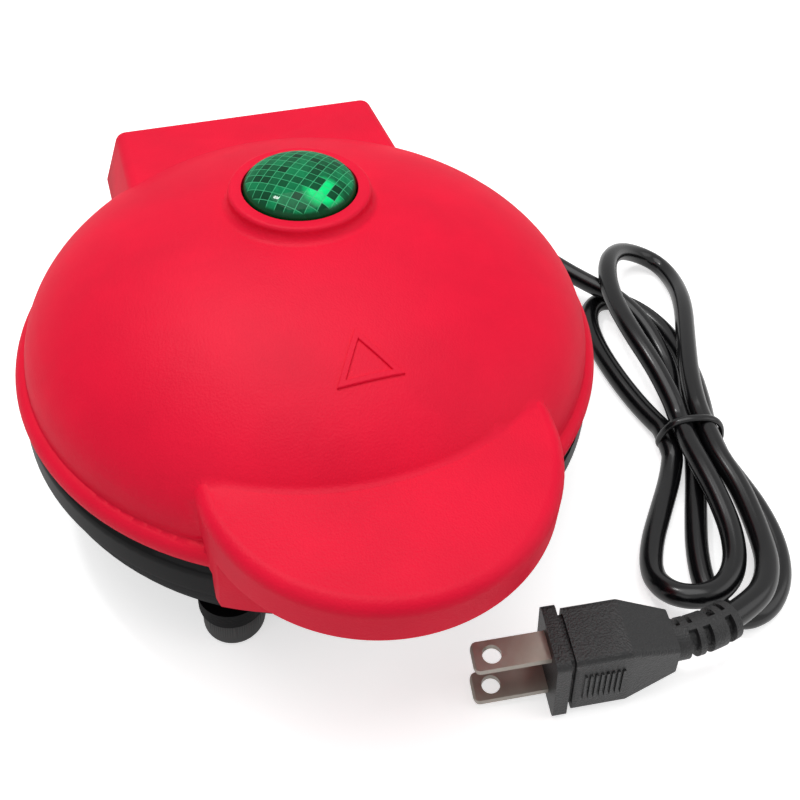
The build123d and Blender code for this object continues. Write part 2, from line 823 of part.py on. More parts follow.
def lid_lug(side):
    """Inner hinge lug that hangs from the hinge box."""
    near, far = sorted((side * (lug_outer - knuckle_length), side * lug_outer))
    web = block(near, far, pin_y - knuckle_radius, pin_y + knuckle_radius, pin_z, box_top_z - wall / 2)
    tie = block(near, far, pin_y, box_inner_y + wall / 2, box_bottom_z + 1, box_top_z - wall / 2)
    return along_x(knuckle_radius, near, far, pin_y, pin_z) + web + tie


def lid_holes():
    """Holes for the pin, the lens and the screws of the lid."""
    reach = lug_outer + 0.2
    holes = along_x(pin_radius + slide_gap, -reach, reach, pin_y, pin_z)
    holes += drum(lens_radius + seat_gap + 0.1, dome_z, collar_top_z + 1, 0, lens_y)
    for side in (-1, 1):
        low = handle_bottom_z + 1
        holes += drum(small_screw[0] + slide_gap, low, low + 6.4, side * handle_screw_x, handle_screw_y())
        low = holder_top_z - 1
        holes += drum(small_screw[0] + slide_gap, low, low + 4.2, side * holder_screw_x, lens_y)
    for x, y in ring_screw_points():
        high = lid_bottom_z + ring_screw_length + head_gap
        holes += drum(ring_screw[0] + slide_gap, lid_bottom_z - 1, high, x, y)
    return holes


def ring_screw_points():
    """Four places on the lid ring's flange."""
    return on_circle(dome_radius - wall + 1.5, (20, 160, 215, 325))


def lid_rim_ring():
    """Grey ring under the lip that carries the upper plate."""
    flange_outer = lip_radius - ring_flange_inset
    ledge_low = 2 * parting_z - ledge_z
    ring = turned(
        (skirt_inner, ring_flange_z), (flange_outer, ring_flange_z), (flange_outer, lid_bottom_z),
        (skirt_outer, lid_bottom_z), (skirt_outer, ledge_low + ledge_height),
        (ledge_inner, ledge_low + ledge_height), (ledge_inner, ledge_low), (skirt_inner, ledge_low),
    )
    for x, y in ring_screw_points():
        ring -= drum(ring_screw[1] + slide_gap, ring_flange_z - 1, ring_flange_z + ring_screw[2], x, y)
        ring -= drum(ring_screw[0] + slide_gap, ring_flange_z, lid_bottom_z + 1, x, y)
    return ring - rear_notch()


def lid_ring_screws():
    """Four small screws from below through the ring into the lip."""
    seat = ring_flange_z + ring_screw[2]
    return [screw(ring_screw, x, y, seat, ring_screw_length) for x, y in ring_screw_points()]


def handle_screw_y():
    """Middle of the handle cover at its screws."""
    front = sqrt((handle_radius - wall) ** 2 - handle_screw_x ** 2) - handle_y
    rear = sqrt((apron_outer + screw_room) ** 2 - handle_screw_x ** 2)
    return -(front + rear) / 2


def handle_cover():
    """Crescent cover flush in the handle's underside."""
    shank, head, head_height = small_screw
    cover = handle_room(handle_cover_gap, handle_bottom_z, handle_bottom_z + handle_cover_thickness)
    for side in (-1, 1):
        x, y = side * handle_screw_x, handle_screw_y()
        cover -= drum(head + head_gap, handle_bottom_z - 1, handle_bottom_z + head_height, x, y)
        cover -= drum(shank + slide_gap, handle_bottom_z, handle_bottom_z + 3, x, y)
    return cover


def handle_screws():
    """Two screws of the handle cover."""
    seat = handle_bottom_z + small_screw[2]
    y = handle_screw_y()
    return [screw(small_screw, s * handle_screw_x, y, seat, handle_screw_length) for s in (-1, 1)]


def indicator_lens():
    """Round bulged lens with a skirt and a flange."""
    low = holder_top_z
    inner = lens_radius - lens_wall
    edge_z = collar_top_z - 0.1
    sphere = (lens_radius ** 2 + lens_rise ** 2) / (2 * lens_rise)
    outer_arc = RadiusArc((lens_radius, edge_z), (0, edge_z + lens_rise), -sphere)
    inner_top = edge_z + lens_rise - lens_wall
    inner_arc = bulged((0, inner_top), (inner, edge_z - 1.0), -0.8)
    lens = turned_edges([
        Line((collar_radius - 1, low), (collar_radius - 1, lens_flange_z)),
        Line((collar_radius - 1, lens_flange_z), (lens_radius, lens_flange_z)),
        Line((lens_radius, lens_flange_z), (lens_radius, edge_z)),
        outer_arc,
        Line((0, edge_z + lens_rise), (0, inner_top)),
        inner_arc,
        Line((inner, edge_z - 1.0), (inner, low)),
        Line((inner, low), (collar_radius - 1, low)),
    ])
    return Pos(0, lens_y, 0) * lens


def lamp_holder():
    """Cup under the lens that carries the lamp board, with two screw ears."""
    top, wall_in = holder_top_z, holder_radius - holder_wall
    bottom = board_z - holder_floor
    cup = turned(
        (wall_in, top), (lens_radius + 1, top), (lens_radius + 1, top - holder_plate),
        (holder_radius, top - holder_plate), (holder_radius, bottom),
        (0, bottom), (0, board_z), (wall_in, board_z),
    )
    slot = SlotOverall(2 * holder_screw_x + ear_width, ear_width)
    ears = Pos(0, 0, top - holder_plate / 2) * extrude(slot, holder_plate / 2, both=True)
    ears -= drum(lens_radius, top - holder_plate - 1, top + 1)
    cup += ears
    for side in (-1, 1):
        cup -= drum(small_screw[0] + slide_gap, top - holder_plate - 1, top + 1, side * holder_screw_x, 0)
    return Pos(0, lens_y, 0) * cup


def lamp_holder_screws():
    """Two screws of the lamp holder."""
    seat = holder_top_z - holder_plate
    return [screw(small_screw, s * holder_screw_x, lens_y, seat, holder_screw_length) for s in (-1, 1)]


def lamp_board():
    """Round board of the lamp."""
    board_radius = holder_radius - holder_wall - seat_gap
    return drum(board_radius, board_z, board_z + board_thickness, 0, lens_y)


def indicator_lamp():
    """Round-headed lamp that stands on its board."""
    low = board_z + board_thickness
    lamp = drum(lamp_radius, low, low + lamp_height, 0, lens_y)
    return fillet(lamp.edges().sort_by(Axis.Z)[-1], lamp_round)


def upper_plate_screws():
    """Three screws that hold the upper shield to the upper plate."""
    seat = 2 * parting_z - shield_z
    return [screw(lid_plate_screw, x, y, seat, plate_screw_grip, up=-1) for x, y in boss_points]


def lid_leads():
    """Leads from the upper heater's pins over the shield to the lamp board."""
    half = element_pin_spacing / 2
    z = 2 * parting_z - element_z
    turn_y = element_pin_reach + lead_bend
    leads = []
    for side in (-1, 1):
        x = side * half
        leads.append(lead([
            (x, element_pin_reach, z), (x, turn_y - 1, z), (x, turn_y, z + lead_bend - 0.5),
            (x, element_pin_reach - 2, z + lead_rise - 0.6), (x, element_pin_reach - 14, z + lead_rise),
            (x, element_pin_reach - 26, z + lead_rise - 0.4),
            (x, lens_y + holder_radius - 1.8, z + lead_rise - 1),
        ]))
    return leads


# Cord set
def cord_relief():
    """Tapered strain relief that leaves the hinge block along +X."""
    face = hinge_half_width
    groove_x = relief_inner_x + relief_collar
    flange_radius = relief_neck + relief_flange
    body = turned(
        (0, relief_inner_x), (flange_radius, relief_inner_x), (flange_radius, groove_x),
        (relief_neck, groove_x), (relief_neck, face), (relief_root, face),
        (relief_tip, face + relief_length), (0, face + relief_length),
    )
    return Pos(0, relief_y, relief_z) * Rot(0, 90, 0) * body


def flat(heading):
    """Level direction at a heading in degrees."""
    return Vector(cos(radians(heading)), sin(radians(heading)), 0)


def slot_place(across, layer, along):
    """Point in the tied bundle: strands across, layer 0 or 1, and along the bundle."""
    ahead, side = flat(tie_heading), flat(tie_heading - 90)
    z = bundle_z + layer * strand_rise
    return Vector(tie_x, tie_y, z) + ahead * along + side * (across * strand_pitch)


def eased(pairs, share):
    """Height at a share of the way, eased between (share, height) pairs."""
    for (low, z_low), (high, z_high) in zip(pairs, pairs[1:]):
        if share <= high:
            part = (share - low) / (high - low)
            return z_low + (z_high - z_low) * (1 - cos(pi * part)) / 2
    return pairs[-1][1]


# Each loop: end of the bundle, heading, length, width, lean, pinch, first and last strand, heights
rear_loops = 1
front_loops = -1
front_big_loop = (front_loops, -101.0, 47.0, 17.5, 8.6, 1.5, (0, 0), (1, 0),
                  ((0, 4.0), (0.1, 2.85), (0.9, 2.85), (1, 4.0)))
rear_small_loop = (rear_loops, 79.1, 53.5, 16.2, -5.4, 1, (1, 0), (-1, 0),
                   ((0, 4.0), (0.16, 2.85), (0.84, 2.85), (1, 4.0)))
front_small_loop = (front_loops, -112.0, 45.9, 18.0, 5.0, 2, (-1, 0), (-0.5, 1),
                    ((0, 4.0), (0.14, 2.85), (0.3, 3.2), (0.5, 9.0), (0.68, 9.0), (0.84, 10.0), (1, 9.35)))
rear_big_loop = (rear_loops, 82.0, 71.0, -23.2, 14.6, 2, (-0.5, 1), (0.5, 1),
                 ((0, 9.35), (0.2, 15.1), (0.36, 15.1), (0.52, 3.0), (0.6, 3.0), (0.76, 9.4), (0.88, 10.0),
                  (1, 9.35)))
loop_shares = (0.15, 0.26, 0.36, 0.44, 0.5, 0.56, 0.64, 0.74, 0.85)


def opening(share, pinch):
    """How far a loop stands open at a share of its way; pinch draws in its waist."""
    return sin(2 * pi * share) * sin(pi * share) ** pinch


def loop_point(loop, share):
    """Point of a loop at a share of its way round."""
    end, heading, length, width, lean, pinch, first, last, heights = loop
    ahead, side = flat(heading), flat(heading - 90)
    along = (1 - cos(2 * pi * share)) / 2
    sideways = width / 2 * opening(share, pinch) / opening(1 / 3, pinch) + lean * along * along
    start = slot_place(*first, end * strand_run / 2)
    finish = slot_place(*last, end * strand_run / 2)
    blend = share * share * (3 - 2 * share)
    point = start * (1 - blend) + finish * blend + ahead * (length * along) + side * sideways
    return Vector(point.X, point.Y, eased(heights, share))


def loop_knots(loop):
    """Points and directions of a loop between the two ends of its straight strands."""
    end, first, last = loop[0], loop[6], loop[7]
    out = flat(tie_heading) * end
    knots = [(slot_place(*first, end * strand_run / 2), out)]
    for share in loop_shares:
        step = loop_point(loop, share + 0.002) - loop_point(loop, share - 0.002)
        knots.append((loop_point(loop, share), unit(step)))
    return knots + [(slot_place(*last, end * strand_run / 2), out * -1)]


def hank_path():
    """The bundle's one unbroken way: four loops and the straight strands between them."""
    forward = flat(tie_heading) * -1
    knots = [(slot_place(0, 0, strand_run / 2), forward)]
    for loop in (front_big_loop, rear_small_loop, front_small_loop, rear_big_loop):
        knots += loop_knots(loop)
    knots.append((slot_place(0.5, 1, -strand_run / 2), forward))
    return smooth_path(knots)


def points_on(path, spacing=1.5):
    """Evenly spaced points on a path."""
    count = int(path.length / spacing)
    return [path @ (index / count) for index in range(count + 1)]


def least_gap(points, others=None, apart=14.0, spacing=1.5):
    """Least free space between a cord and itself, or another cord."""
    skip = int(apart / spacing)
    least = 1000.0
    for index, point in enumerate(points):
        rest = others if others is not None else points[index + skip:]
        for other in rest:
            least = min(least, (other - point).length - cord_diameter)
    return least


def cord_hank():
    """Cord bundle of four loops, one unbroken tube."""
    return round_tube(hank_path(), cord_radius)


# The stretch from the strain relief to the bundle
power_route = [
    (hinge_half_width + relief_length, relief_y, relief_z),
    (61, relief_y, relief_z), (72, 54.5, 14.2), (81, 44.5, 12.2),
    (87.5, 34, 10.0), (93.5, 25.5, 8.9), (99, 17, 8.9), (102.2, 7.5, 7.6), (103.2, -2.5, 5.0),
    (102.0, -12.5, 3.7),
]


def power_path():
    """Way of the cord from the press to the bundle."""
    arrival = [slot_place(0, 0, strand_run / 2 + 9), slot_place(0, 0, strand_run / 2)]
    points = [Vector(*p) for p in power_route] + arrival
    return bent_path([tuple(p) for p in points])


def power_cord():
    """Cord from the strain relief to the bundle."""
    path, _ = power_path()
    return round_tube(path, cord_radius)


# The stretch from the bundle to the plug, behind the bundle's front end
tail_route = [
    (94.0, -54.8, 9.2), (92.5, -62.4, 9.1), (90.1, -70.4, 9.3), (86.9, -77.4, 10.3), (82.0, -82.8, 11.4),
]


def tail_path():
    """Way of the cord from the bundle to the plug's strain relief."""
    leave = [slot_place(0.5, 1, -strand_run / 2), slot_place(0.5, 1, -strand_run / 2 - 5.8)]
    end, way = plug_relief_end()
    arrive = [end - way * -8.0, end]
    points = leave + [Vector(*p) for p in tail_route] + arrive
    return bent_path([tuple(p) for p in points])


def cord_tail():
    """Cord from the bundle to the plug."""
    path, _ = tail_path()
    return round_tube(path, cord_radius)


def cord_tie():
    """Flat band round the five strands of the bundle."""
    centres = [(-1, 0), (0, 0), (1, 0), (-0.5, 1), (0.5, 1)]

    def hull(radius):
        circles = [Pos(a * strand_pitch, b * strand_rise) * Circle(radius) for a, b in centres]
        return make_hull([edge for circle in circles for edge in circle.edges()])

    inner = cord_radius + tie_gap
    band = hull(inner + tie_thickness) - hull(inner)
    plane = Plane(origin=(tie_x, tie_y, bundle_z), x_dir=flat(tie_heading - 90), z_dir=flat(tie_heading) * -1)
    return extrude(plane * band, tie_width / 2, both=True)


# Plug
def plug_frame():
    """The plug's place: X runs from the blades to the cord, Z is up."""
    return Pos(plug_x, plug_y, plug_z) * Rot(0, 0, plug_yaw) * Rot(0, -plug_pitch, 0)


def rounded_section(x, width, height, radius):
    """Upright rounded section of the plug at a distance from its face."""
    plane = Plane(origin=(x, 0, 0), x_dir=(0, 1, 0), z_dir=(1, 0, 0))
    return plane * RectangleRounded(width, height, radius)


def plug_body():
    """Moulded body with a flange at the blades, a groove, grip ribs and a tapered end."""
    groove_end = flange_thickness + neck_length
    body = extrude(rounded_section(0, flange_width, flange_height, 1.6), flange_thickness)
    body += extrude(rounded_section(flange_thickness, plug_width - 2, plug_height - 2, 1.2), neck_length)
    body += extrude(rounded_section(groove_end, plug_width, plug_height, 1.4), plug_shoulder - groove_end)
    tail = [rounded_section(plug_shoulder, plug_width, plug_height, 1.4),
            rounded_section(plug_length, plug_tail, plug_tail, 1.4)]
    body += loft(tail, ruled=True)
    for index in range(grip_ribs):
        x = groove_end + 2.2 + index * grip_pitch
        body += Pos(x, 0, 0) * Box(0.55, plug_width + 0.9, 9.0)
    for side in (-1, 1):
        pocket = Pos(blade_root / 2, 0, side * blade_spacing / 2)
        body -= pocket * Box(blade_root + 0.02, blade_width + 0.1, blade_thickness + 0.1)
    return plug_frame() * body


def plug_blade(side):
    """Flat blade with a round hole and bevelled tip."""
    length = blade_length + blade_root
    middle = (blade_root - blade_length) / 2
    blade = Box(length, blade_width, blade_thickness)
    tip = blade.edges().filter_by(Axis.Y).group_by(Axis.X)[0]
    blade = chamfer(tip, 0.5)
    blade = Pos(middle, 0, 0) * blade - Pos(-blade_hole_reach, 0, 0) * Cylinder(blade_hole, 4)
    return plug_frame() * Pos(0, 0, side * blade_spacing / 2) * blade


def plug_relief_path():
    """Bent way of the plug's strain relief."""
    frame = plug_frame()
    start = (frame * Pos(plug_length, 0, 0)).position
    ahead = (frame * Pos(plug_length + 1, 0, 0)).position - start
    end = start + unit(ahead) * relief_run + Vector(*relief_bend)
    return TangentArc(start, end, tangent=ahead)


def plug_relief_end():
    """End of the plug's strain relief and the way the cord leaves it."""
    path = plug_relief_path()
    return path @ 1, path % 1


def plug_relief():
    """Strain relief of the plug: rings on a bent core."""
    path = plug_relief_path()
    relief = round_tube(path, relief_core)
    for index in range(relief_rings):
        share = (index + 0.5) / relief_rings
        plane = Plane(path @ share, z_dir=path % share)
        relief += extrude(plane * Circle(relief_ring - 0.12 * index), relief_ring_length / 2, both=True)
    return relief


def write(name, shape):
    """Write one sub-part in the shared frame."""
    solids = shape if isinstance(shape, list) else [shape]
    moved = [Pos(0, footprint_shift, 0) * s for s in solids]
    whole = moved[0] if len(moved) == 1 else Compound(children=[Compound(m.wrapped) for m in moved])
    export_step(whole, f"parts/{name}.step")


def report_cord():
    """Print the cord's bend radii, length, volumes and least gaps."""
    hank = hank_path()
    power, power_radii = power_path()
    tail, tail_radii = tail_path()
    print("power cord radii", [round(r, 1) for r in power_radii])
    print("cord tail radii", [round(r, 1) for r in tail_radii])
    hank_radii = [e.radius for e in hank.edges() if e.geom_type == GeomType.CIRCLE]
    print("hank least radius", round(min(hank_radii), 2))
    section = pi * cord_radius ** 2
    for name, path, solid in (("power_cord", power, power_cord()), ("cord_hank", hank, cord_hank()),
                              ("cord_tail", tail, cord_tail())):
        print(name, "length", round(path.length, 2), "volume over section x length",
              round(solid.volume / (section * path.length), 5))
    print("cord length", round(power.length + hank.length + tail.length, 1))
    loops, way_in, way_out = points_on(hank), points_on(power), points_on(tail)
    print("hank least gap to itself", round(least_gap(loops), 2))
    print("hank to power cord", round(least_gap(loops[8:], way_in), 2))
    print("hank to tail", round(least_gap(loops[:-8], way_out), 2))
    print("power cord to tail", round(least_gap(way_in, way_out), 2))


def main():
    """Build and write every sub-part."""
    os.makedirs("parts", exist_ok=True)
    write("base_bowl", base_bowl())
    write("base_ring", base_ring())
    corners = (("front_left", -1, -1), ("front_right", 1, -1), ("rear_left", -1, 1), ("rear_right", 1, 1))
    for name, x, y in corners:
        write(f"foot_{name}", foot(x * foot_x, y * foot_y))
    write("bottom_cover", bottom_cover())
    write("cover_screws", cover_screws())
    write("base_screws", base_screws())
    write("lower_plate", lower_plate())
    write("lower_element", lower_element())
    write("lower_element_clamp", lower_element_clamp())
    write("lower_clamp_screw", lower_clamp_screw())
    write("lower_heat_shield", lower_heat_shield())
    write("thermostat", thermostat())
    write("thermal_fuse", thermal_fuse())
    write("terminal_block", terminal_block())
    write("base_leads", base_leads())
    write("hinge_pin", hinge_pin())
    write("lid_shell", lid_shell())
    write("lid_rim_ring", lid_rim_ring())
    write("lid_ring_screws", lid_ring_screws())
    write("handle_cover", handle_cover())
    write("handle_screws", handle_screws())
    write("indicator_lens", indicator_lens())
    write("lamp_holder", lamp_holder())
    write("lamp_holder_screws", lamp_holder_screws())
    write("lamp_board", lamp_board())
    write("indicator_lamp", indicator_lamp())
    write("upper_plate", upper(lower_plate()))
    write("upper_element", upper(lower_element()))
    write("upper_element_clamp", upper(lower_element_clamp()))
    write("upper_clamp_screw", upper(lower_clamp_screw()))
    write("upper_heat_shield", upper(lower_heat_shield()))
    write("upper_plate_screws", upper_plate_screws())
    write("lid_leads", lid_leads())
    write("cord_relief", cord_relief())
    write("power_cord", power_cord())
    write("cord_hank", cord_hank())
    write("cord_tail", cord_tail())
    write("cord_tie", cord_tie())
    write("plug_body", plug_body())
    write("plug_relief", plug_relief())
    write("plug_blade_upper", plug_blade(1))
    write("plug_blade_lower", plug_blade(-1))
    report_cord()


main()
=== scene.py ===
"""Looks of a mini sandwich press, in metres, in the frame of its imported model."""

import json
import logging
import math
from dataclasses import dataclass, field
from enum import Enum
from typing import NamedTuple

import bmesh
import bpy
from mathutils import Matrix, Vector

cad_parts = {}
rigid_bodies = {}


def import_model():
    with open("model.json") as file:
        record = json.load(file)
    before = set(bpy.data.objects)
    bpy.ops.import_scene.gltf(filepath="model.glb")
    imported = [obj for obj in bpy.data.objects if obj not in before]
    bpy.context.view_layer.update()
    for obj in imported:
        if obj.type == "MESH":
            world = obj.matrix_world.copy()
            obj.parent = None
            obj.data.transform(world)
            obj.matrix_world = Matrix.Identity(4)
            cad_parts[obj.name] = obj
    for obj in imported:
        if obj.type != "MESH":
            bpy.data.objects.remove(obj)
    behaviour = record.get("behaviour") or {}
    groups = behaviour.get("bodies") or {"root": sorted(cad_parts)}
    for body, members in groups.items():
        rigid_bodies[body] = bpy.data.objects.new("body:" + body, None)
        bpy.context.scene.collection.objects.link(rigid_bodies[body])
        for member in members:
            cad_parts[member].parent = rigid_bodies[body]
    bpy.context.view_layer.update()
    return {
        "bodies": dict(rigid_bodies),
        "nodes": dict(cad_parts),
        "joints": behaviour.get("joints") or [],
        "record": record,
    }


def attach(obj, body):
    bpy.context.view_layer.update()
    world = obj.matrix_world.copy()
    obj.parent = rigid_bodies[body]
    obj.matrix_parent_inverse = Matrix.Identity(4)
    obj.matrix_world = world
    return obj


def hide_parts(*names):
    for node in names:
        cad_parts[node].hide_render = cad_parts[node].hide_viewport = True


Colour = tuple[float, float, float]
Point = tuple[float, float, float]

LOG = logging.getLogger("sandwich_press")
AXIS_Y = 0.0085  # y of the lip's and the dome's upright axis
LENS_Y = AXIS_Y + 0.0094  # y of the lens's middle
SAME_CAD_POINT = 0.000001  # nearer points of a CAD mesh are merged
SAME_SPUN_POINT = 0.0000005  # nearer points of a spun mesh are merged
MIX_FACTOR, MIX_COLOURS, MIX_RESULT = 0, (6, 7), 2  # the Mix node's sockets


class Body(Enum):
    """The two bodies of the press that the hinge joins."""

    BASE = "base"
    LID = "lid"


class Ray(Enum):
    """Kinds of ray that see the plain white surroundings."""

    CAMERA = "Is Camera Ray"
    GLOSSY = "Is Glossy Ray"
    TRANSMISSION = "Is Transmission Ray"


class Layer(NamedTuple):
    """One layer of bumps: its pattern, its strength and its depth in metres."""

    pattern: bpy.types.NodeSocket
    strength: float
    depth: float


# Materials
class NodeSheet:
    """A tree of nodes, with short ways to add to it."""

    def __init__(self, tree: bpy.types.NodeTree) -> None:
        """Keeps the tree."""
        self.tree = tree

    def node(self, kind: str, inputs: dict, **settings: object) -> bpy.types.Node:
        """Adds a node.

        Args:
            kind: The node's type.
            inputs: Values or sockets for its inputs, by name or index.
            **settings: Values for its properties.

        Returns:
            The new node.
        """
        made = self.tree.nodes.new(kind)
        for key, value in settings.items():
            setattr(made, key, value)
        for key, value in inputs.items():
            self.feed(made.inputs[key], value)
        return made

    def feed(self, socket: bpy.types.NodeSocket, value: object) -> None:
        """Links a socket, or sets its value.

        Args:
            socket: The input.
            value: A value, or the output to link from.
        """
        if isinstance(value, bpy.types.NodeSocket):
            self.tree.links.new(value, socket)
        else:
            socket.default_value = value

    def spread(self, pattern: bpy.types.NodeSocket, low: float = 0.0, high: float = 1.0,
               start: float = 0.3, end: float = 0.7) -> bpy.types.NodeSocket:
        """Maps a pattern to a range.

        Args:
            pattern: The pattern.
            low: Result at start.
            high: Result at end.
            start: The pattern's value that gives low.
            end: The pattern's value that gives high.

        Returns:
            The mapped pattern.
        """
        inputs = {"Value": pattern, "From Min": start, "From Max": end, "To Min": low,
                  "To Max": high}
        return self.node("ShaderNodeMapRange", inputs).outputs["Result"]

    def blend(self, factor: bpy.types.NodeSocket, first: object,
              second: object) -> bpy.types.NodeSocket:
        """Blends two colours.

        Args:
            factor: Share of the second colour.
            first: Colour or socket.
            second: Colour or socket.

        Returns:
            The blended colour.
        """
        made = self.node("ShaderNodeMix", {MIX_FACTOR: factor}, data_type="RGBA")
        for index, colour in zip(MIX_COLOURS, (first, second)):
            value = (*colour, 1.0) if isinstance(colour, tuple) else colour
            self.feed(made.inputs[index], value)
        return made.outputs[MIX_RESULT]

    def maths(self, operation: str, first: object, second: object = 0.0,
              kind: str = "ShaderNodeMath", result: int | str = 0) -> bpy.types.NodeSocket:
        """Works out a number or a vector.

        Args:
            operation: The node's operation.
            first: First value or socket.
            second: Second value or socket.
            kind: The node's type.
            result: The output that holds the result.

        Returns:
            The result.
        """
        return self.node(kind, {0: first, 1: second}, operation=operation).outputs[result]


class ShaderSheet(NodeSheet):
    """One material's nodes, with short ways to add patterns to its shader."""

    def __init__(self, name: str) -> None:
        """Starts the material.

        Args:
            name: The material's name.
        """
        self.material = bpy.data.materials.new(name)
        self.material.use_nodes = True
        super().__init__(self.material.node_tree)
        self.shader = self.tree.nodes["Principled BSDF"]
        self.place = self.tree.nodes.new("ShaderNodeTexCoord").outputs["Object"]

    def surface(self, **values: object) -> None:
        """Sets or links sockets of the shader.

        Args:
            **values: Values by socket name, with _ for each space.
        """
        for key, value in values.items():
            name = key.replace("_", " ")
            if isinstance(value, tuple):
                value = (*value, 1.0)
            self.feed(self.shader.inputs[name], value)

    def noise(self, scale: float, detail: float = 2.0, roughness: float = 0.5,
              stretch: Point = (1.0, 1.0, 1.0)) -> bpy.types.NodeSocket:
        """Noise over the piece.

        Args:
            scale: Cells for each metre.
            detail: Octaves.
            roughness: Share of each octave.
            stretch: Scale along each axis.

        Returns:
            The noise, from 0 to 1.
        """
        place = self.node("ShaderNodeMapping", {"Vector": self.place, "Scale": stretch}).outputs[0]
        inputs = {"Vector": place, "Scale": scale, "Detail": detail, "Roughness": roughness}
        return self.node("ShaderNodeTexNoise", inputs).outputs["Fac"]

    def cells(self, scale: float) -> bpy.types.NodeSocket:
        """Pebbled cells.

        Args:
            scale: Cells for each metre.

        Returns:
            The distance from each cell's middle.
        """
        inputs = {"Vector": self.place, "Scale": scale, "Smoothness": 0.4}
        return self.node("ShaderNodeTexVoronoi", inputs, feature="SMOOTH_F1").outputs["Distance"]

    def bumps(self, *layers: Layer) -> bpy.types.NodeSocket:
        """Stacks bump layers.

        Args:
            *layers: The layers, the lowest first.

        Returns:
            The normal.
        """
        normal = None
        for layer in layers:
            made = self.node("ShaderNodeBump", {"Height": layer.pattern, "Strength": layer.strength,
                                                "Distance": layer.depth})
            if normal is not None:
                self.feed(made.inputs["Normal"], normal)
            normal = made.outputs["Normal"]
        return normal


@dataclass(frozen=True)
class Finish:
    """A finish with its colour and the record's slot."""

    name: str
    slot: str
    colour: Colour

    def material(self) -> bpy.types.Material:
        """Makes the finish's material once, and finds it after that.

        Returns:
            The material.
        """
        found = bpy.data.materials.get(self.name)
        if found is None:
            sheet = ShaderSheet(self.name)
            self.paint(sheet)
            found = sheet.material
        return found

    def paint(self, sheet: ShaderSheet) -> None:
        """Adds the finish to a sheet.

        Args:
            sheet: The sheet to paint.
        """
        raise NotImplementedError

    def shade(self, share: float) -> Colour:
        """The colour, lighter or darker by a share."""
        return tuple(min(1.0, c * share) for c in self.colour)


@dataclass(frozen=True)
class MouldedPlastic(Finish):
    """Moulded plastic with a fine pebbled grain."""

    roughness: float = 0.4
    grain: float = 1300.0  # cells for each metre
    depth: float = 0.0001
    cloud: float = 0.06  # how far the colour strays
    sheen: float = 0.45  # weight of the coat

    def paint(self, sheet: ShaderSheet) -> None:
        """Adds clouded colour, grain and uneven sheen."""
        cloud = sheet.spread(sheet.noise(scale=55.0, detail=3.0))
        fine = sheet.noise(scale=self.grain * 0.6, detail=3.0, roughness=0.6)
        grain = sheet.bumps(
            Layer(sheet.cells(self.grain), strength=0.5, depth=self.depth),
            Layer(fine, strength=0.4, depth=self.depth),
        )
        sheet.surface(
            Base_Color=sheet.blend(cloud, self.shade(1 - self.cloud), self.shade(1 + self.cloud)),
            Roughness=sheet.spread(fine, self.roughness - 0.05, self.roughness + 0.07),
            Normal=grain,
            Specular_IOR_Level=0.0,
            Coat_Weight=self.sheen,
            Coat_Roughness=self.roughness,
            Coat_Normal=grain,
        )


@dataclass(frozen=True)
class GlossPlastic(Finish):
    """Polished plastic with faint waviness and dust."""

    roughness: float = 0.16

    def paint(self, sheet: ShaderSheet) -> None:
        """Adds the polish."""
        dust = sheet.noise(scale=900.0, detail=4.0, roughness=0.7)
        specks = sheet.spread(dust, start=0.55, end=0.8)
        sheet.surface(
            Base_Color=sheet.blend(specks, self.colour, self.shade(1.6)),
            Roughness=sheet.spread(dust, self.roughness, self.roughness + 0.14,
                                   start=0.45, end=0.75),
            Normal=sheet.bumps(
                Layer(sheet.noise(scale=160.0, detail=1.0), strength=0.12, depth=0.0001),
                Layer(dust, strength=0.1, depth=0.00003),
            ),
            Specular_IOR_Level=0.0,
            Coat_Weight=0.22,
            Coat_Roughness=0.12,
        )


@dataclass(frozen=True)
class Rubber(Finish):
    """Dull rubber with a dusty, pitted surface."""

    roughness: float = 0.72

    def paint(self, sheet: ShaderSheet) -> None:
        """Adds pits and dust."""
        pits = sheet.noise(scale=1100.0, detail=4.0, roughness=0.65)
        dust = sheet.spread(sheet.noise(scale=240.0, detail=3.0), high=0.6, start=0.5, end=0.75)
        sheet.surface(
            Base_Color=sheet.blend(dust, self.colour, self.shade(1.9)),
            Roughness=sheet.spread(pits, self.roughness - 0.1, self.roughness + 0.12),
            Normal=sheet.bumps(Layer(pits, strength=0.5, depth=0.00008)),
            Specular_IOR_Level=0.05,
        )


@dataclass(frozen=True)
class CordSheath(Finish):
    """Smooth vinyl or rubber with faint streaks and scuffs."""

    roughness: float = 0.2

    def paint(self, sheet: ShaderSheet) -> None:
        """Adds the sheen of drawn vinyl."""
        scuffs = sheet.noise(scale=420.0, detail=4.0, roughness=0.6)
        worn = sheet.spread(scuffs, start=0.5, end=0.85)
        sheet.surface(
            Base_Color=sheet.blend(worn, self.colour, self.shade(1.7)),
            Roughness=sheet.spread(scuffs, self.roughness - 0.04, self.roughness + 0.06),
            Normal=sheet.bumps(
                Layer(sheet.noise(scale=130.0), strength=0.15, depth=0.00012),
                Layer(scuffs, strength=0.1, depth=0.00002),
            ),
            Specular_IOR_Level=0.0,
            Coat_Weight=0.72,
            Coat_Roughness=0.22,
        )


@dataclass(frozen=True)
class Coating(Finish):
    """Speckled non-stick coating over cast metal."""

    roughness: float = 0.42

    def paint(self, sheet: ShaderSheet) -> None:
        """Adds speckles and a cast texture."""
        grit = sheet.noise(scale=2400.0, roughness=0.6)
        cast = sheet.noise(scale=700.0, detail=3.0, roughness=0.6)
        specks = sheet.spread(grit, start=0.62, end=0.72)
        sheet.surface(
            Base_Color=sheet.blend(specks, self.colour, self.shade(4.0)),
            Metallic=0.35,
            Roughness=sheet.spread(cast, self.roughness - 0.08, self.roughness + 0.1),
            Normal=sheet.bumps(Layer(cast, strength=0.4, depth=0.00008)),
        )


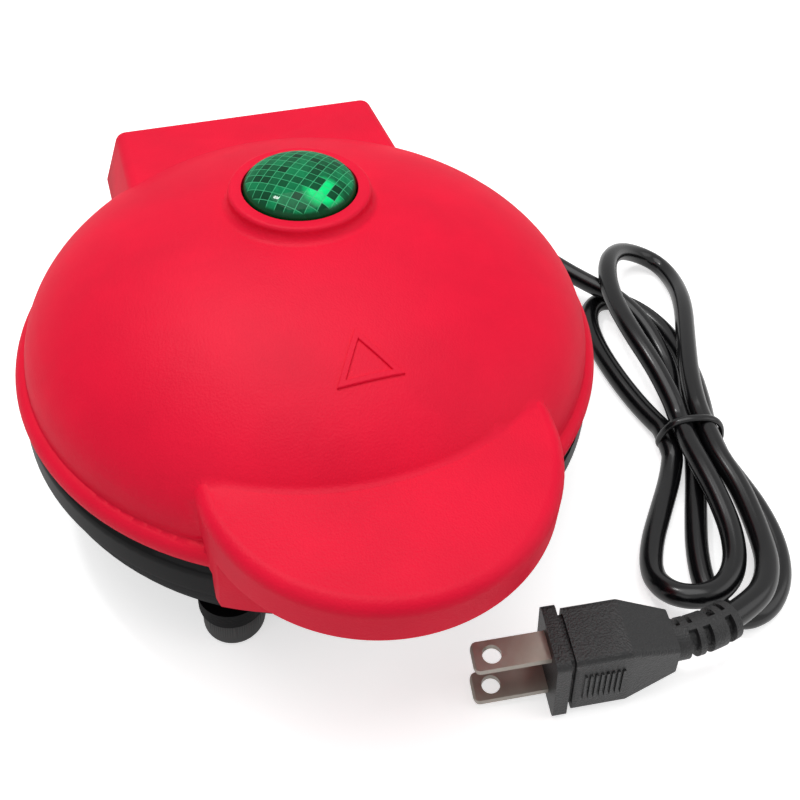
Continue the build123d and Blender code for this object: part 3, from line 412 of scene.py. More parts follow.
@dataclass(frozen=True)
class Metal(Finish):
    """Bare or plated metal with drawn lines."""

    roughness: float = 0.28
    lines: Point = (1.0, 1.0, 1.0)  # scale along each axis
    tint: Colour = (1.0, 1.0, 1.0)  # what the tarnish leaves of the colour
    bareness: float = 1.0  # 1 for bare metal, less under a film

    def paint(self, sheet: ShaderSheet) -> None:
        """Adds drawn lines and a faint tarnish."""
        drawn = sheet.noise(scale=900.0, detail=4.0, roughness=0.6, stretch=self.lines)
        stain = sheet.spread(sheet.noise(scale=130.0, detail=3.0), high=0.7)
        tinted = tuple(c * t for c, t in zip(self.colour, self.tint))
        sheet.surface(
            Base_Color=sheet.blend(stain, self.colour, tinted),
            Metallic=self.bareness,
            Roughness=sheet.spread(drawn, self.roughness - 0.08, self.roughness + 0.12),
            Normal=sheet.bumps(Layer(drawn, strength=0.18, depth=0.00003)),
        )


@dataclass(frozen=True)
class ClearMoulding(Finish):
    """Clear or tinted see-through moulding."""

    roughness: float = 0.03
    clearness: float = 0.9

    def paint(self, sheet: ShaderSheet) -> None:
        """Adds the see-through body and a faint flow pattern."""
        flow = sheet.noise(scale=140.0)
        sheet.surface(
            Base_Color=sheet.blend(sheet.spread(flow), self.shade(0.92), self.shade(1.08)),
            Transmission_Weight=self.clearness,
            Roughness=sheet.spread(flow, self.roughness, self.roughness + 0.03),
            IOR=1.49,
            Normal=sheet.bumps(Layer(flow, strength=0.08, depth=0.0001)),
        )


@dataclass(frozen=True)
class PrismLens(Finish):
    """Tinted lens with a smooth face over a moulded grid of prisms, with painted reflections and a
    painted highlight.
    """

    centre: Point = (0.0, LENS_Y, 0.0)
    turn: float = 42.0  # in degrees
    pitch: float = 0.0024
    swell: float = 1.14  # growth of the grid towards the edge
    edge: float = 0.0128  # radius of that edge
    line: float = 0.05  # as a share of the pitch
    seed: float = 3.0  # picks the pattern of dark and light prisms
    # painted highlight: a bright patch of prisms that stands in for light caught by the lens
    painted_highlight: Point = (0.0032, -0.0076, 0.0)  # bright spot, from the centre
    highlight_core: float = 0.0026  # radius of its brightest part
    highlight_edge: float = 0.0048  # radius where it ends
    rim: float = 0.0119  # radius where the dark rim starts
    rim_blur: float = 0.0004  # width over which it starts
    line_colour: Colour = (0.06, 0.50, 0.22)
    # colour of the painted highlight
    highlight_colour: Colour = (0.0, 0.80, 0.22)
    rim_colour: Colour = (0.0, 0.07, 0.018)

    def paint(self, sheet: ShaderSheet) -> None:
        """Adds the prisms, their painted reflections and a painted highlight, under a clear coat.
        """
        vector = "ShaderNodeVectorMath"
        moved = sheet.maths("SUBTRACT", sheet.place, self.centre, vector)
        turning = {"Vector": moved, "Angle": math.radians(self.turn)}
        turned = sheet.node("ShaderNodeVectorRotate", turning, rotation_type="Z_AXIS").outputs[0]
        axes = sheet.node("ShaderNodeSeparateXYZ", {0: turned}).outputs[:2]
        squares = [sheet.maths("POWER", axis, 2.0) for axis in axes]
        reach = sheet.maths("POWER", sheet.maths("ADD", *squares), 0.5)
        swell = sheet.spread(reach, low=1.0, high=self.swell, start=0.0, end=self.edge)
        cells = [sheet.maths("DIVIDE", sheet.maths("MULTIPLY", axis, swell), self.pitch)
                 for axis in axes]
        ridge = sheet.maths("MINIMUM", *[sheet.maths("PINGPONG", cell, 0.5) for cell in cells])
        column, row = (sheet.maths("FLOOR", cell) for cell in cells)
        number = sheet.node("ShaderNodeCombineXYZ", {0: column, 1: row, 2: self.seed}).outputs[0]
        chance = sheet.node("ShaderNodeTexWhiteNoise", {"Vector": number},
                            noise_dimensions="3D").outputs["Value"]

        streak = sheet.spread(sheet.noise(scale=900.0, stretch=(1.0, 0.15, 1.0)), high=0.35)
        # random light and dark prisms: painted reflections, standing in for how each prism's facets
        # catch the light
        tone = sheet.blend(chance, self.shade(0.25), self.shade(1.5))
        tone = sheet.blend(streak, tone, self.shade(0.2))
        # painted highlight: prisms near one spot are painted bright
        flat = sheet.maths("MULTIPLY", moved, (1.0, 1.0, 0.0), vector)
        away = sheet.maths("DISTANCE", flat, self.painted_highlight, vector, "Value")
        near = sheet.spread(away, low=1.0, high=0.0, start=self.highlight_core, end=self.highlight_edge)
        highlight = sheet.maths("MULTIPLY", sheet.spread(chance, start=0.25, end=0.4), near)
        tone = sheet.blend(highlight, tone, self.highlight_colour)
        lines = sheet.spread(ridge, low=0.85, high=0.0, start=self.line * 0.4, end=self.line)
        tone = sheet.blend(lines, tone, self.line_colour)
        rim = sheet.spread(reach, start=self.rim, end=self.rim + self.rim_blur)
        tone = sheet.blend(rim, tone, self.rim_colour)

        hollow = sheet.spread(ridge, start=0.0, end=0.3)
        sheet.surface(
            Base_Color=tone,
            Roughness=sheet.spread(chance, low=0.18, high=0.4, start=0.0, end=1.0),
            Normal=sheet.bumps(Layer(hollow, strength=0.6, depth=0.0003)),
            Specular_IOR_Level=0.0,
            Coat_Weight=0.22,
            Coat_Roughness=0.03,
        )


RED_PLASTIC = MouldedPlastic("red_grained_plastic", "red_plastic", (0.80, 0.003, 0.034),
                             roughness=0.5, grain=2300.0, depth=0.00008, sheen=0.36)
RIM_PLASTIC = GlossPlastic("black_polished_plastic", "black_gloss", (0.0025, 0.0025, 0.003))
BOWL_PLASTIC = MouldedPlastic("black_satin_plastic", "black_satin", (0.004, 0.004, 0.0045),
                              roughness=0.38, grain=1800.0, sheen=0.16)
GREY_PLASTIC = MouldedPlastic("grey_lid_ring_plastic", "grey_plastic", (0.3, 0.3, 0.31),
                              roughness=0.42)
FOOT_RUBBER = Rubber("foot_rubber", "foot_rubber", (0.004, 0.004, 0.0045))
PLATE_COATING = Coating("speckled_coating", "nonstick_coating", (0.03, 0.03, 0.032))
SCREW_STEEL = Metal("zinc_steel", "steel", (0.56, 0.57, 0.58), tint=(0.92, 0.93, 0.96))
SHIELD_METAL = Metal("rolled_aluminium", "aluminium", (0.78, 0.79, 0.8), lines=(1.0, 0.06, 1.0))
BLADE_NICKEL = Metal("plated_blades", "nickel", (0.37, 0.34, 0.30), roughness=0.4,
                     tint=(0.8, 0.77, 0.72), bareness=0.5)
CERAMIC = MouldedPlastic("white_insulator", "white_plastic", (0.78, 0.76, 0.7), roughness=0.45)
LEAD_SLEEVE = Rubber("woven_lead_sleeve", "lead_sleeve", (0.7, 0.7, 0.66), roughness=0.65)
LENS_GREEN = PrismLens("green_lens_moulding", "green_lens", (0.002, 0.17, 0.06))
LAMP_GLASS = ClearMoulding("lamp_glass", "lamp_glass", (0.95, 0.92, 0.85))
PLUG_MOULDING = MouldedPlastic("black_plug_moulding", "black_moulding", (0.011, 0.011, 0.0115),
                               roughness=0.45, grain=2500.0, depth=0.00026, sheen=0.75)
BAND_RUBBER = CordSheath("black_band_rubber", "cord_sheath", (0.006, 0.006, 0.0065))
SHEATH = CordSheath("black_vinyl_sheath", "cord_sheath", (0.003, 0.003, 0.0035))


# Meshes
def mesh_of(shape: bmesh.types.BMesh, name: str) -> bpy.types.Mesh:
    """Turns a mesh in work into a finished one.

    Args:
        shape: The mesh in work, which is freed.
        name: The finished mesh's name.

    Returns:
        The finished mesh.
    """
    data = bpy.data.meshes.new(name)
    shape.to_mesh(data)
    shape.free()
    return data


def in_scene(name: str, data: bpy.types.ID) -> bpy.types.Object:
    """Puts a new object with this data into the scene."""
    made = bpy.data.objects.new(name, data)
    bpy.context.scene.collection.objects.link(made)
    return made


def spun(outline: list[tuple[float, float]], steps: int, centre: Vector,
         closed: bool = True) -> bmesh.types.BMesh:
    """Spins an outline of (radius, height) points about an upright axis.

    Args:
        outline: The points.
        steps: Steps of a full turn.
        centre: A point of the axis.
        closed: Whether the outline's last point joins its first.

    Returns:
        The mesh in work.
    """
    shape = bmesh.new()
    points = [shape.verts.new((centre.x + r, centre.y, centre.z + z)) for r, z in outline]
    edges = [shape.edges.new(pair) for pair in zip(points, points[1:])]
    if closed:
        edges.append(shape.edges.new((points[-1], points[0])))
    bmesh.ops.spin(shape, geom=points + edges, cent=centre, axis=(0, 0, 1), angle=math.tau,
                   steps=steps, use_merge=True)
    bmesh.ops.remove_doubles(shape, verts=shape.verts, dist=SAME_SPUN_POINT)
    bmesh.ops.dissolve_degenerate(shape, edges=shape.edges, dist=SAME_SPUN_POINT)
    bmesh.ops.recalc_face_normals(shape, faces=shape.faces)
    return shape


class Workbench:
    """Turns finished shapes into pieces that ride on a body."""

    def __init__(self, frame: dict) -> None:
        """Keeps the loaded CAD nodes.
        """
        self.nodes: dict[str, bpy.types.Object] = frame["nodes"]

    def piece(self, shape: bmesh.types.BMesh | bpy.types.Curve, name: str, finish: Finish,
              body: Body, stands_for: tuple[str, ...] = (),
              crease: float = 40.0) -> bpy.types.Object:
        """Makes a piece of a finished shape.

        Args:
            shape: A mesh in work, or a curve.
            name: The piece's name.
            finish: Its finish.
            body: The body that it rides on.
            stands_for: CAD nodes that it replaces.
            crease: Angle in degrees past which an edge stays sharp.

        Returns:
            The piece.
        """
        if isinstance(shape, bmesh.types.BMesh):
            data = mesh_of(shape, name)
            data.shade_smooth()
            data.set_sharp_from_angle(angle=math.radians(crease))
        else:
            data = shape
        made = in_scene(name, data)
        data.materials.append(finish.material())
        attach(made, body.value)
        if stands_for:
            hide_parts(*stands_for)
        LOG.info("%s made in %s", name, finish.name)
        return made

    def merged(self, node: str) -> bmesh.types.BMesh:
        """Copies a CAD node with its points merged.

        Args:
            node: The node's name.

        Returns:
            The copy in work.
        """
        shape = bmesh.new()
        shape.from_mesh(self.nodes[node].data)
        bmesh.ops.remove_doubles(shape, verts=shape.verts, dist=SAME_CAD_POINT)
        bmesh.ops.dissolve_degenerate(shape, edges=shape.edges, dist=SAME_CAD_POINT)
        return shape

    def refined(self, node: str, finish: Finish, body: Body, crease: float = 16.0,
                shape: bmesh.types.BMesh | None = None) -> bpy.types.Object:
        """Stands a merged, smoothly shaded copy of a CAD node in its place.

        Args:
            node: The node's name.
            finish: The copy's finish.
            body: The body that it rides on.
            crease: Angle in degrees past which an edge stays sharp.
            shape: The copy in work, where it has been reworked.

        Returns:
            The copy.
        """
        copy = shape or self.merged(node)
        made = self.piece(copy, node + "_smooth", finish, body, (node,), crease)
        evened = made.modifiers.new("even_shading", "WEIGHTED_NORMAL")
        evened.keep_sharp = True
        evened.weight = 80
        return made


# The lead and its plug
@dataclass(frozen=True)
class Loop:
    """One loop of the tied bundle, by its place at the tie and its shape."""

    end: int  # 1 at the bundle's end by the hinge, -1 at the other
    heading: float  # level direction of its far end, in degrees
    length: float  # how far it reaches
    width: float  # how wide it opens, below 0 where it starts to its left
    lean: float  # how far its far end lies to the side
    pinch: float  # how narrow it starts and ends
    first: tuple[float, float]  # strand and layer at the tie where it starts
    last: tuple[float, float]  # strand and layer where it ends
    heights: tuple[tuple[float, float], ...]  # share of its way and height there

    def opening(self, share: float) -> float:
        """How far the loop stands open at a share of its way."""
        return math.sin(math.tau * share) * math.sin(math.pi * share) ** self.pinch

    def height(self, share: float) -> float:
        """Finds the height above the table.

        Args:
            share: Share of the loop's way.

        Returns:
            The height there, eased from one given height to the next.
        """
        for (low, z_low), (high, z_high) in zip(self.heights, self.heights[1:]):
            if share <= high:
                part = (share - low) / (high - low)
                return z_low + (z_high - z_low) * (1 - math.cos(math.pi * part)) / 2
        return self.heights[-1][1]


@dataclass(frozen=True)
class Band:
    """Sizes of the rubber band round the bundle."""

    half: float = 0.00075  # half its thickness
    width: float = 0.0022
    reach: float = 0.0099  # half the width of its loop at the table
    rise: float = 0.0059  # half the height of its loop
    square: float = 0.72  # power that squares its corners, 1 for round
    lean: float = 0.16  # how much narrower it grows with each rise
    sides: int = 18
    steps: int = 96

    def squared(self, part: float) -> float:
        """A sine or cosine of the loop's turn, with its corners squared."""
        return math.copysign(abs(part) ** self.square, part)


@dataclass(frozen=True)
class Grip:
    """Sizes of the plug's strain relief, whose places are shares of its length."""

    start: Point = (0.0532, -0.07983, 0.01295)  # where it leaves the plug's body
    ahead: Point = (0.9779, -0.1901, 0.0872)  # direction in which it leaves
    end: Point = (0.06825, -0.07947, 0.01295)  # where the cord leaves it
    cord_way: Point = (0.968, 0.236, -0.088)  # direction of the cord there
    radius: float = 0.0043
    bore: float = 0.0026
    lip: float = 0.02  # share over which its far rim falls off
    lip_drop: float = 0.0004
    floor: float = 0.0030  # radius of the slots' floor
    half_turn: float = 1.34  # half a slot's angle, in radians
    step: float = 0.003  # half the share that a slot's wall takes up
    # start, end and side of each slot
    slots: tuple[tuple[float, float, int], ...] = (
        (0.07, 0.13, -1), (0.20, 0.32, 1), (0.25, 0.31, -1), (0.41, 0.52, 1), (0.56, 0.68, -1),
        (0.76, 0.87, 1), (0.80, 0.86, -1),
    )
    steps: int = 72


@dataclass(frozen=True)
class BladeTip:
    """Sizes of the blades' rounded tip corners."""

    across: Point = (0.1908, 0.9816, 0.0)  # direction across a blade's width
    radius: float = 0.0015
    cuts: int = 7  # steps of a corner's quarter turn


@dataclass
class MainsLead:
    """The lead: its relief, the cord in its tied bundle, the band and the plug."""

    bench: Workbench
    band_size: Band = Band()
    grip_size: Grip = Grip()
    blade_tip: BladeTip = BladeTip()
    diameter: float = 0.0056
    length: float = 0.726
    exit: Point = (0.050, 0.0685, 0.0154)  # where the cord leaves the press
    tie: Point = (0.0935, -0.0270, 0.0040)  # middle of the lower layer there
    heading: float = 77.0  # of the bundle, in degrees
    pitch: float = 0.0062
    rise: float = 0.00535  # height from the lower layer to the upper
    run: float = 0.0090  # length of the straight part at the tie
    run_in: float = 0.009  # straight way before it
    run_out: float = 0.0058  # straight way after it
    plug_run: float = 0.008  # straight way before the plug
    widest: float = 1 / 3  # share of a loop's way where its width is measured
    shares: int = 14  # parts that a loop is drawn in
    # from the press to the bundle
    way_in: tuple[Point, ...] = (
        (0.0500, 0.0685, 0.0154), (0.0610, 0.0685, 0.0154), (0.0720, 0.0630, 0.0142),
        (0.0810, 0.0530, 0.0122), (0.0875, 0.0425, 0.0100), (0.0935, 0.0340, 0.0089),
        (0.0990, 0.0255, 0.0089), (0.1022, 0.0160, 0.0076), (0.1032, 0.0060, 0.0050),
        (0.1020, -0.0040, 0.0037),
    )
    # from the bundle towards the plug
    way_out: tuple[Point, ...] = (
        (0.0940, -0.0463, 0.0092), (0.0925, -0.0539, 0.0091), (0.0901, -0.0619, 0.0093),
        (0.0869, -0.0689, 0.0103), (0.0820, -0.0743, 0.0114),
    )
    # in the order in which the cord takes them
    loops: tuple[Loop, ...] = (
        Loop(-1, -101.0, 0.0470, 0.0175, 0.0086, 1.5, (0, 0), (1, 0),
             ((0, 0.0040), (0.1, 0.00285), (0.9, 0.00285), (1, 0.0040))),
        Loop(1, 79.1, 0.0535, 0.0162, -0.0054, 1, (1, 0), (-1, 0),
             ((0, 0.0040), (0.16, 0.00285), (0.84, 0.00285), (1, 0.0040))),
        Loop(-1, -112.0, 0.0459, 0.0180, 0.0050, 2, (-1, 0), (-0.5, 1),
             ((0, 0.0040), (0.14, 0.00285), (0.3, 0.0032), (0.5, 0.0090), (0.68, 0.0090),
              (0.84, 0.0100), (1, 0.00935))),
        Loop(1, 82.0, 0.0710, -0.0232, 0.0146, 2, (-0.5, 1), (0.5, 1),
             ((0, 0.00935), (0.2, 0.0151), (0.33, 0.0151), (0.57, 0.0030), (0.62, 0.0032),
              (0.76, 0.0094), (0.88, 0.0100), (1, 0.00935))),
    )

    @staticmethod
    def level(heading: float) -> Vector:
        """Level direction at a heading in degrees."""
        return Vector((math.cos(math.radians(heading)), math.sin(math.radians(heading)), 0.0))

    def place(self, across: float, layer: float, along: float) -> Vector:
        """Point of the bundle.

        Args:
            across: Strands to the right of the middle.
            layer: Layer above the first.
            along: Metres along the bundle.

        Returns:
            The point.
        """
        point = Vector(self.tie) + self.level(self.heading) * along
        point += self.level(self.heading - 90) * (across * self.pitch)
        point.z += layer * self.rise
        return point

    def loop_point(self, loop: Loop, share: float) -> Vector:
        """Point of a loop.

        Args:
            loop: The loop.
            share: Share of its way round.

        Returns:
            The point.
        """
        along = (1 - math.cos(math.tau * share)) / 2
        opening = loop.width / 2 * loop.opening(share) / loop.opening(self.widest)
        sideways = opening + loop.lean * along * along
        blend = share * share * (3 - 2 * share)
        start = self.place(*loop.first, loop.end * self.run / 2)
        finish = self.place(*loop.last, loop.end * self.run / 2)
        point = start.lerp(finish, blend)
        point += (self.level(loop.heading) * (loop.length * along)
                  + self.level(loop.heading - 90) * sideways)
        point.z = loop.height(share)
        return point

    def route(self) -> list[Vector]:
        """Lists the cord's points from the press to the plug.

        Returns:
            The points.
        """
        half = self.run / 2
        points = [Vector(p) for p in self.way_in]
        points += [self.place(0, 0, along) for along in (half + self.run_in, half, 0, -half)]
        for index, loop in enumerate(self.loops):
            if index:
                points.append(self.place(*loop.first, loop.end * half))
            points += [self.loop_point(loop, step / self.shares) for step in range(1, self.shares)]
            points += [self.place(*loop.last, along) for along in (loop.end * half, 0)]
        points += [self.place(0.5, 1, along) for along in (-half, -half - self.run_out)]
        points += [Vector(p) for p in self.way_out]
        end, way = Vector(self.grip_size.end), Vector(self.grip_size.cord_way).normalized()
        return points + [end + way * self.plug_run, end]

    def cord(self, plug_pieces: list[bpy.types.Object]) -> None:
        """Makes the cord.

        Args:
            plug_pieces: The plug's pieces and the band. Not used.
        """
        curve = bpy.data.curves.new("cord", "CURVE")
        curve.dimensions = "3D"
        curve.resolution_u = 6
        curve.bevel_depth = self.diameter / 2
        curve.bevel_resolution = 6
        curve.use_fill_caps = True
        spline = curve.splines.new("NURBS")
        points = self.route()
        spline.points.add(len(points) - 1)
        for knot, point in zip(spline.points, points):
            knot.co = (*point, 1.0)
        spline.order_u = 3
        spline.use_endpoint_u = True
        made = self.bench.piece(curve, "cord", SHEATH, Body.BASE,
                                ("power_cord", "cord_hank", "cord_tail"))

    def band(self) -> bpy.types.Object:
        """Makes the rubber band that holds the bundle.

        Returns:
            The band.
        """
        size = self.band_size
        shape = bmesh.new()
        ring = bmesh.ops.create_circle(shape, segments=size.sides, radius=size.half)["verts"]
        bmesh.ops.scale(shape, vec=(1.0, size.width / size.half / 2, 1.0), verts=ring)
        bmesh.ops.rotate(shape, cent=(0, 0, 0), matrix=Matrix.Rotation(math.pi / 2, 3, "X"),
                         verts=ring)
        bmesh.ops.translate(shape, vec=(1.0, 0.0, 0.0), verts=ring)
        bmesh.ops.spin(shape, geom=shape.verts[:] + shape.edges[:], cent=(0, 0, 0),
                       axis=(0, 0, 1), angle=math.tau, steps=size.steps, use_merge=True)
        ahead, side = self.level(self.heading), self.level(self.heading - 90)
        middle = Vector(self.tie) + Vector((0.0, 0.0, self.rise / 2))
        for vert in shape.verts:
            turn = math.atan2(vert.co.y, vert.co.x)
            off = math.hypot(vert.co.x, vert.co.y) - 1.0
            high = size.rise * size.squared(math.sin(turn))
            wide = size.reach * size.squared(math.cos(turn))
            wide *= 1.0 - size.lean * (high / size.rise + 1.0)
            out = Vector((math.cos(turn), math.sin(turn)))
            vert.co = (middle + side * (wide + out.x * off) + ahead * vert.co.z
                       + Vector((0, 0, high + out.y * off)))
        bmesh.ops.recalc_face_normals(shape, faces=shape.faces)
        return self.bench.piece(shape, "cord_band", BAND_RUBBER, Body.BASE, ("cord_tie",),
                                crease=60.0)

    def grip(self) -> bpy.types.Object:
        """Makes the plug's bent strain relief with its staggered slots.

        Returns:
            The strain relief.
        """
        size = self.grip_size
        start, ahead, end = Vector(size.start), Vector(size.ahead), Vector(size.end)
        middle = start + ahead * (end - start).length / 2
        stations = sorted(place + step for low, high, _ in size.slots for place in (low, high)
                          for step in (-size.step, size.step))
        outline = [(size.bore, 0.0), (size.radius, 0.0)]
        outline += [(size.radius, station) for station in stations]
        outline += [(size.radius, 1.0 - size.lip), (size.radius - size.lip_drop, 1.0),
                    (size.bore, 1.0)]
        shape = spun(outline, size.steps, Vector((0.0, 0.0, 0.0)))
        for vert in shape.verts:
            turn = math.atan2(vert.co.y, vert.co.x)
            reach, share = vert.co.xy.length, vert.co.z
            for low, high, half in size.slots:
                off = abs(turn) if half > 0 else math.pi - abs(turn)
                if low < share < high and off < size.half_turn:
                    reach = min(reach, size.floor)
            first, second = start.lerp(middle, share), middle.lerp(end, share)
            along = (second - first).normalized()
            side = along.cross(Vector((0.0, 0.0, 1.0))).normalized()
            out = side * math.cos(turn) + side.cross(along) * math.sin(turn)
            vert.co = first.lerp(second, share) + out * reach
        bmesh.ops.recalc_face_normals(shape, faces=shape.faces)
        return self.bench.piece(shape, "plug_grip", PLUG_MOULDING, Body.BASE, ("plug_relief",))

    def blade(self, node: str) -> bpy.types.Object:
        """Stands a blade with rounded tip corners in a node's place.

        Args:
            node: The blade's node.

        Returns:
            The blade.
        """
        size = self.blade_tip
        shape = self.bench.merged(node)
        along, across = Vector(self.grip_size.ahead), Vector(size.across)
        tip = min(vert.co.dot(along) for vert in shape.verts)
        for side in (-1, 1):
            reach = max(side * vert.co.dot(across) for vert in shape.verts)
            for step in range(1, size.cuts):
                turn = math.pi / 2 * step / size.cuts
                normal = across * (side * math.sin(turn)) - along * math.cos(turn)
                centre = along * (tip + size.radius) + across * (side * (reach - size.radius))
                cut = bmesh.ops.bisect_plane(
                    shape, geom=shape.verts[:] + shape.edges[:] + shape.faces[:],
                    plane_co=centre + normal * size.radius, plane_no=normal, clear_outer=True,
                )["geom_cut"]
                rim = [item for item in cut if isinstance(item, bmesh.types.BMEdge)]
                bmesh.ops.edgeloop_fill(shape, edges=rim)
        bmesh.ops.triangulate(shape, faces=shape.faces)
        bmesh.ops.recalc_face_normals(shape, faces=shape.faces)
        return self.bench.refined(node, BLADE_NICKEL, Body.BASE, crease=25.0, shape=shape)

    def build(self) -> None:
        """Builds the lead from the press to the plug."""
        self.bench.refined("cord_relief", PLUG_MOULDING, Body.BASE)
        band = self.band()
        plug = [self.bench.refined("plug_body", PLUG_MOULDING, Body.BASE), self.grip()]
        plug += [self.blade(node) for node in ("plug_blade_upper", "plug_blade_lower")]
        self.cord(plug + [band])


@dataclass(frozen=True)
class Mark:
    """Sizes of the raised triangle on the dome, with y from the dome's axis."""

    half: float = 0.0070  # half the width of its foot
    base: float = -0.0435  # y of its foot
    apex: float = -0.0323  # y of its point
    line: float = 0.0012
    relief: float = 0.00056  # height over the dome
    sink: float = 0.0003  # depth under the dome
    round: float = 0.00018  # radius of its upper edges
    round_steps: int = 3  # faces of that rounding
    cuts: int = 7  # cuts of each edge, which let it follow the dome
    corner: float = 1.0  # angle in radians past which an upper edge is rounded
    clear: float = 0.0015  # border round it where the dome is smoothed
    same_point: float = 0.00002  # nearer points there are merged


@dataclass(frozen=True)
class LensFace:
    """Sizes of the indicator lens."""

    radius: float = 0.0127
    top: float = 0.0785  # height of its middle
    edge: float = 0.0740  # height where the domed face meets the side
    shoulder: float = 0.94  # power that softens the shoulder, 1 for an ellipse
    flange: float = 0.0661  # height of the flange's upper side
    flange_radius: float = 0.0151
    low: float = 0.0649  # height of its underside
    wall: float = 0.0020
    bend_steps: int = 28  # steps from the middle to the side
    steps: int = 144


@dataclass
class Press:
    """The press itself: its nodes' finishes by body, and the shapes made for it."""

    bench: Workbench
    mark: Mark = Mark()
    lens_face: LensFace = LensFace()
    dome_foot: float = 0.0414  # height of the middle of the dome's ellipse
    dome_rise: float = 0.0299  # half the ellipse's height
    dome_radius: float = 0.0653  # half its width
    base: dict[str, Finish] = field(default_factory=lambda: {
        "base_bowl": BOWL_PLASTIC, "base_ring": RIM_PLASTIC, "foot_front_left": FOOT_RUBBER,
        "foot_front_right": FOOT_RUBBER, "foot_rear_left": FOOT_RUBBER,
        "foot_rear_right": FOOT_RUBBER, "bottom_cover": BOWL_PLASTIC, "cover_screws": SCREW_STEEL,
        "base_screws": SCREW_STEEL, "lower_plate": PLATE_COATING, "lower_element": SCREW_STEEL,
        "lower_element_clamp": SCREW_STEEL, "lower_clamp_screw": SCREW_STEEL,
        "lower_heat_shield": SHIELD_METAL, "thermostat": CERAMIC, "thermal_fuse": CERAMIC,
        "terminal_block": CERAMIC, "base_leads": LEAD_SLEEVE, "hinge_pin": SCREW_STEEL,
    })
    lid: dict[str, Finish] = field(default_factory=lambda: {
        "lid_rim_ring": GREY_PLASTIC, "lid_ring_screws": SCREW_STEEL, "handle_cover": RED_PLASTIC,
        "handle_screws": SCREW_STEEL, "lamp_holder": BOWL_PLASTIC,
        "lamp_holder_screws": SCREW_STEEL, "lamp_board": CERAMIC, "indicator_lamp": LAMP_GLASS,
        "upper_plate": PLATE_COATING, "upper_element": SCREW_STEEL,
        "upper_element_clamp": SCREW_STEEL, "upper_clamp_screw": SCREW_STEEL,
        "upper_heat_shield": SHIELD_METAL, "upper_plate_screws": SCREW_STEEL,
        "lid_leads": LEAD_SLEEVE,
    })

    def triangle(self) -> None:
        """Makes the raised plain triangle frame that follows the dome."""
        mark = self.mark
        shape = bmesh.new()
        corners = ((-mark.half, mark.base), (mark.half, mark.base), (0.0, mark.apex))
        face = shape.faces.new([shape.verts.new((x, AXIS_Y + y, 0.0)) for x, y in corners])
        shape.normal_update()
        bmesh.ops.inset_individual(shape, faces=[face], thickness=mark.line, use_even_offset=True)
        bmesh.ops.delete(shape, geom=[face], context="FACES_ONLY")
        bmesh.ops.subdivide_edges(shape, edges=shape.edges[:], cuts=mark.cuts, use_grid_fill=True)
        shape.normal_update()
        bmesh.ops.solidify(shape, geom=shape.faces[:], thickness=mark.relief + mark.sink)
        shape.normal_update()
        low = min(vert.co.z for vert in shape.verts)
        rim = [edge for edge in shape.edges
               if edge.is_manifold and edge.calc_face_angle(0.0) > mark.corner
               and min(vert.co.z for vert in edge.verts) > low + mark.sink]
        bmesh.ops.bevel(shape, geom=rim, offset=mark.round, segments=mark.round_steps,
                        affect="EDGES", profile=0.5, material=-1)
        for vert in shape.verts:
            vert.co.z += self.dome_height(vert.co.x, vert.co.y - AXIS_Y) - low - mark.sink
        bmesh.ops.recalc_face_normals(shape, faces=shape.faces)
        self.bench.piece(shape, "dome_triangle", RED_PLASTIC, Body.LID)

    def shell(self) -> None:
        """Makes the lid shell with a smooth dome under the triangle."""
        mark = self.mark
        shape = self.bench.merged("lid_shell")
        smoothed = []
        for vert in shape.verts:
            x, y = vert.co.x, vert.co.y - AXIS_Y
            if abs(x) >= mark.half + mark.clear:
                continue
            if not mark.base - mark.clear < y < mark.apex + mark.clear:
                continue
            height = self.dome_height(x, y)
            if -mark.clear / 3 < vert.co.z - height < mark.clear:
                vert.co.z = height
                smoothed.append(vert)
        bmesh.ops.remove_doubles(shape, verts=smoothed, dist=mark.same_point)
        bmesh.ops.recalc_face_normals(shape, faces=shape.faces)
        self.bench.refined("lid_shell", RED_PLASTIC, Body.LID, crease=30.0, shape=shape)

    def dome_height(self, x: float, y: float) -> float:
        """Height of the dome's outside at a place about its axis."""
        share = (x * x + y * y) / self.dome_radius ** 2
        return self.dome_foot + self.dome_rise * math.sqrt(1.0 - share)

    def lens(self) -> None:
        """Makes the round lens: a soft shoulder, a side and a flange under the collar."""
        face = self.lens_face
        outline = [(0.0, face.top)]
        for step in range(1, face.bend_steps + 1):
            turn = step / face.bend_steps * math.pi / 2
            rise = (face.top - face.edge) * math.cos(turn) ** face.shoulder
            outline.append((face.radius * math.sin(turn), face.edge + rise))
        inside = face.radius - face.wall
        outline += [
            (face.radius, face.flange), (face.flange_radius, face.flange),
            (face.flange_radius, face.low), (inside, face.low), (inside, face.edge - face.wall),
            (0.0, face.edge),
        ]
        shape = spun(outline, face.steps, Vector((0.0, LENS_Y, 0.0)), closed=False)
        self.bench.piece(shape, "lens_cap", LENS_GREEN, Body.LID, ("indicator_lens",))

    def build(self) -> None:
        """Adds the pieces with a shape of their own, then a smooth copy of each other node."""
        self.lens()
        self.triangle()
        self.shell()
        for body, finishes in ((Body.BASE, self.base), (Body.LID, self.lid)):
            for node, finish in finishes.items():
                self.bench.refined(node, finish, body)


# The studio
@dataclass(frozen=True)
class Lamp:
    """A soft square lamp: its name, place, width and power in watts."""

    name: str
    place: Point
    size: float
    power: float


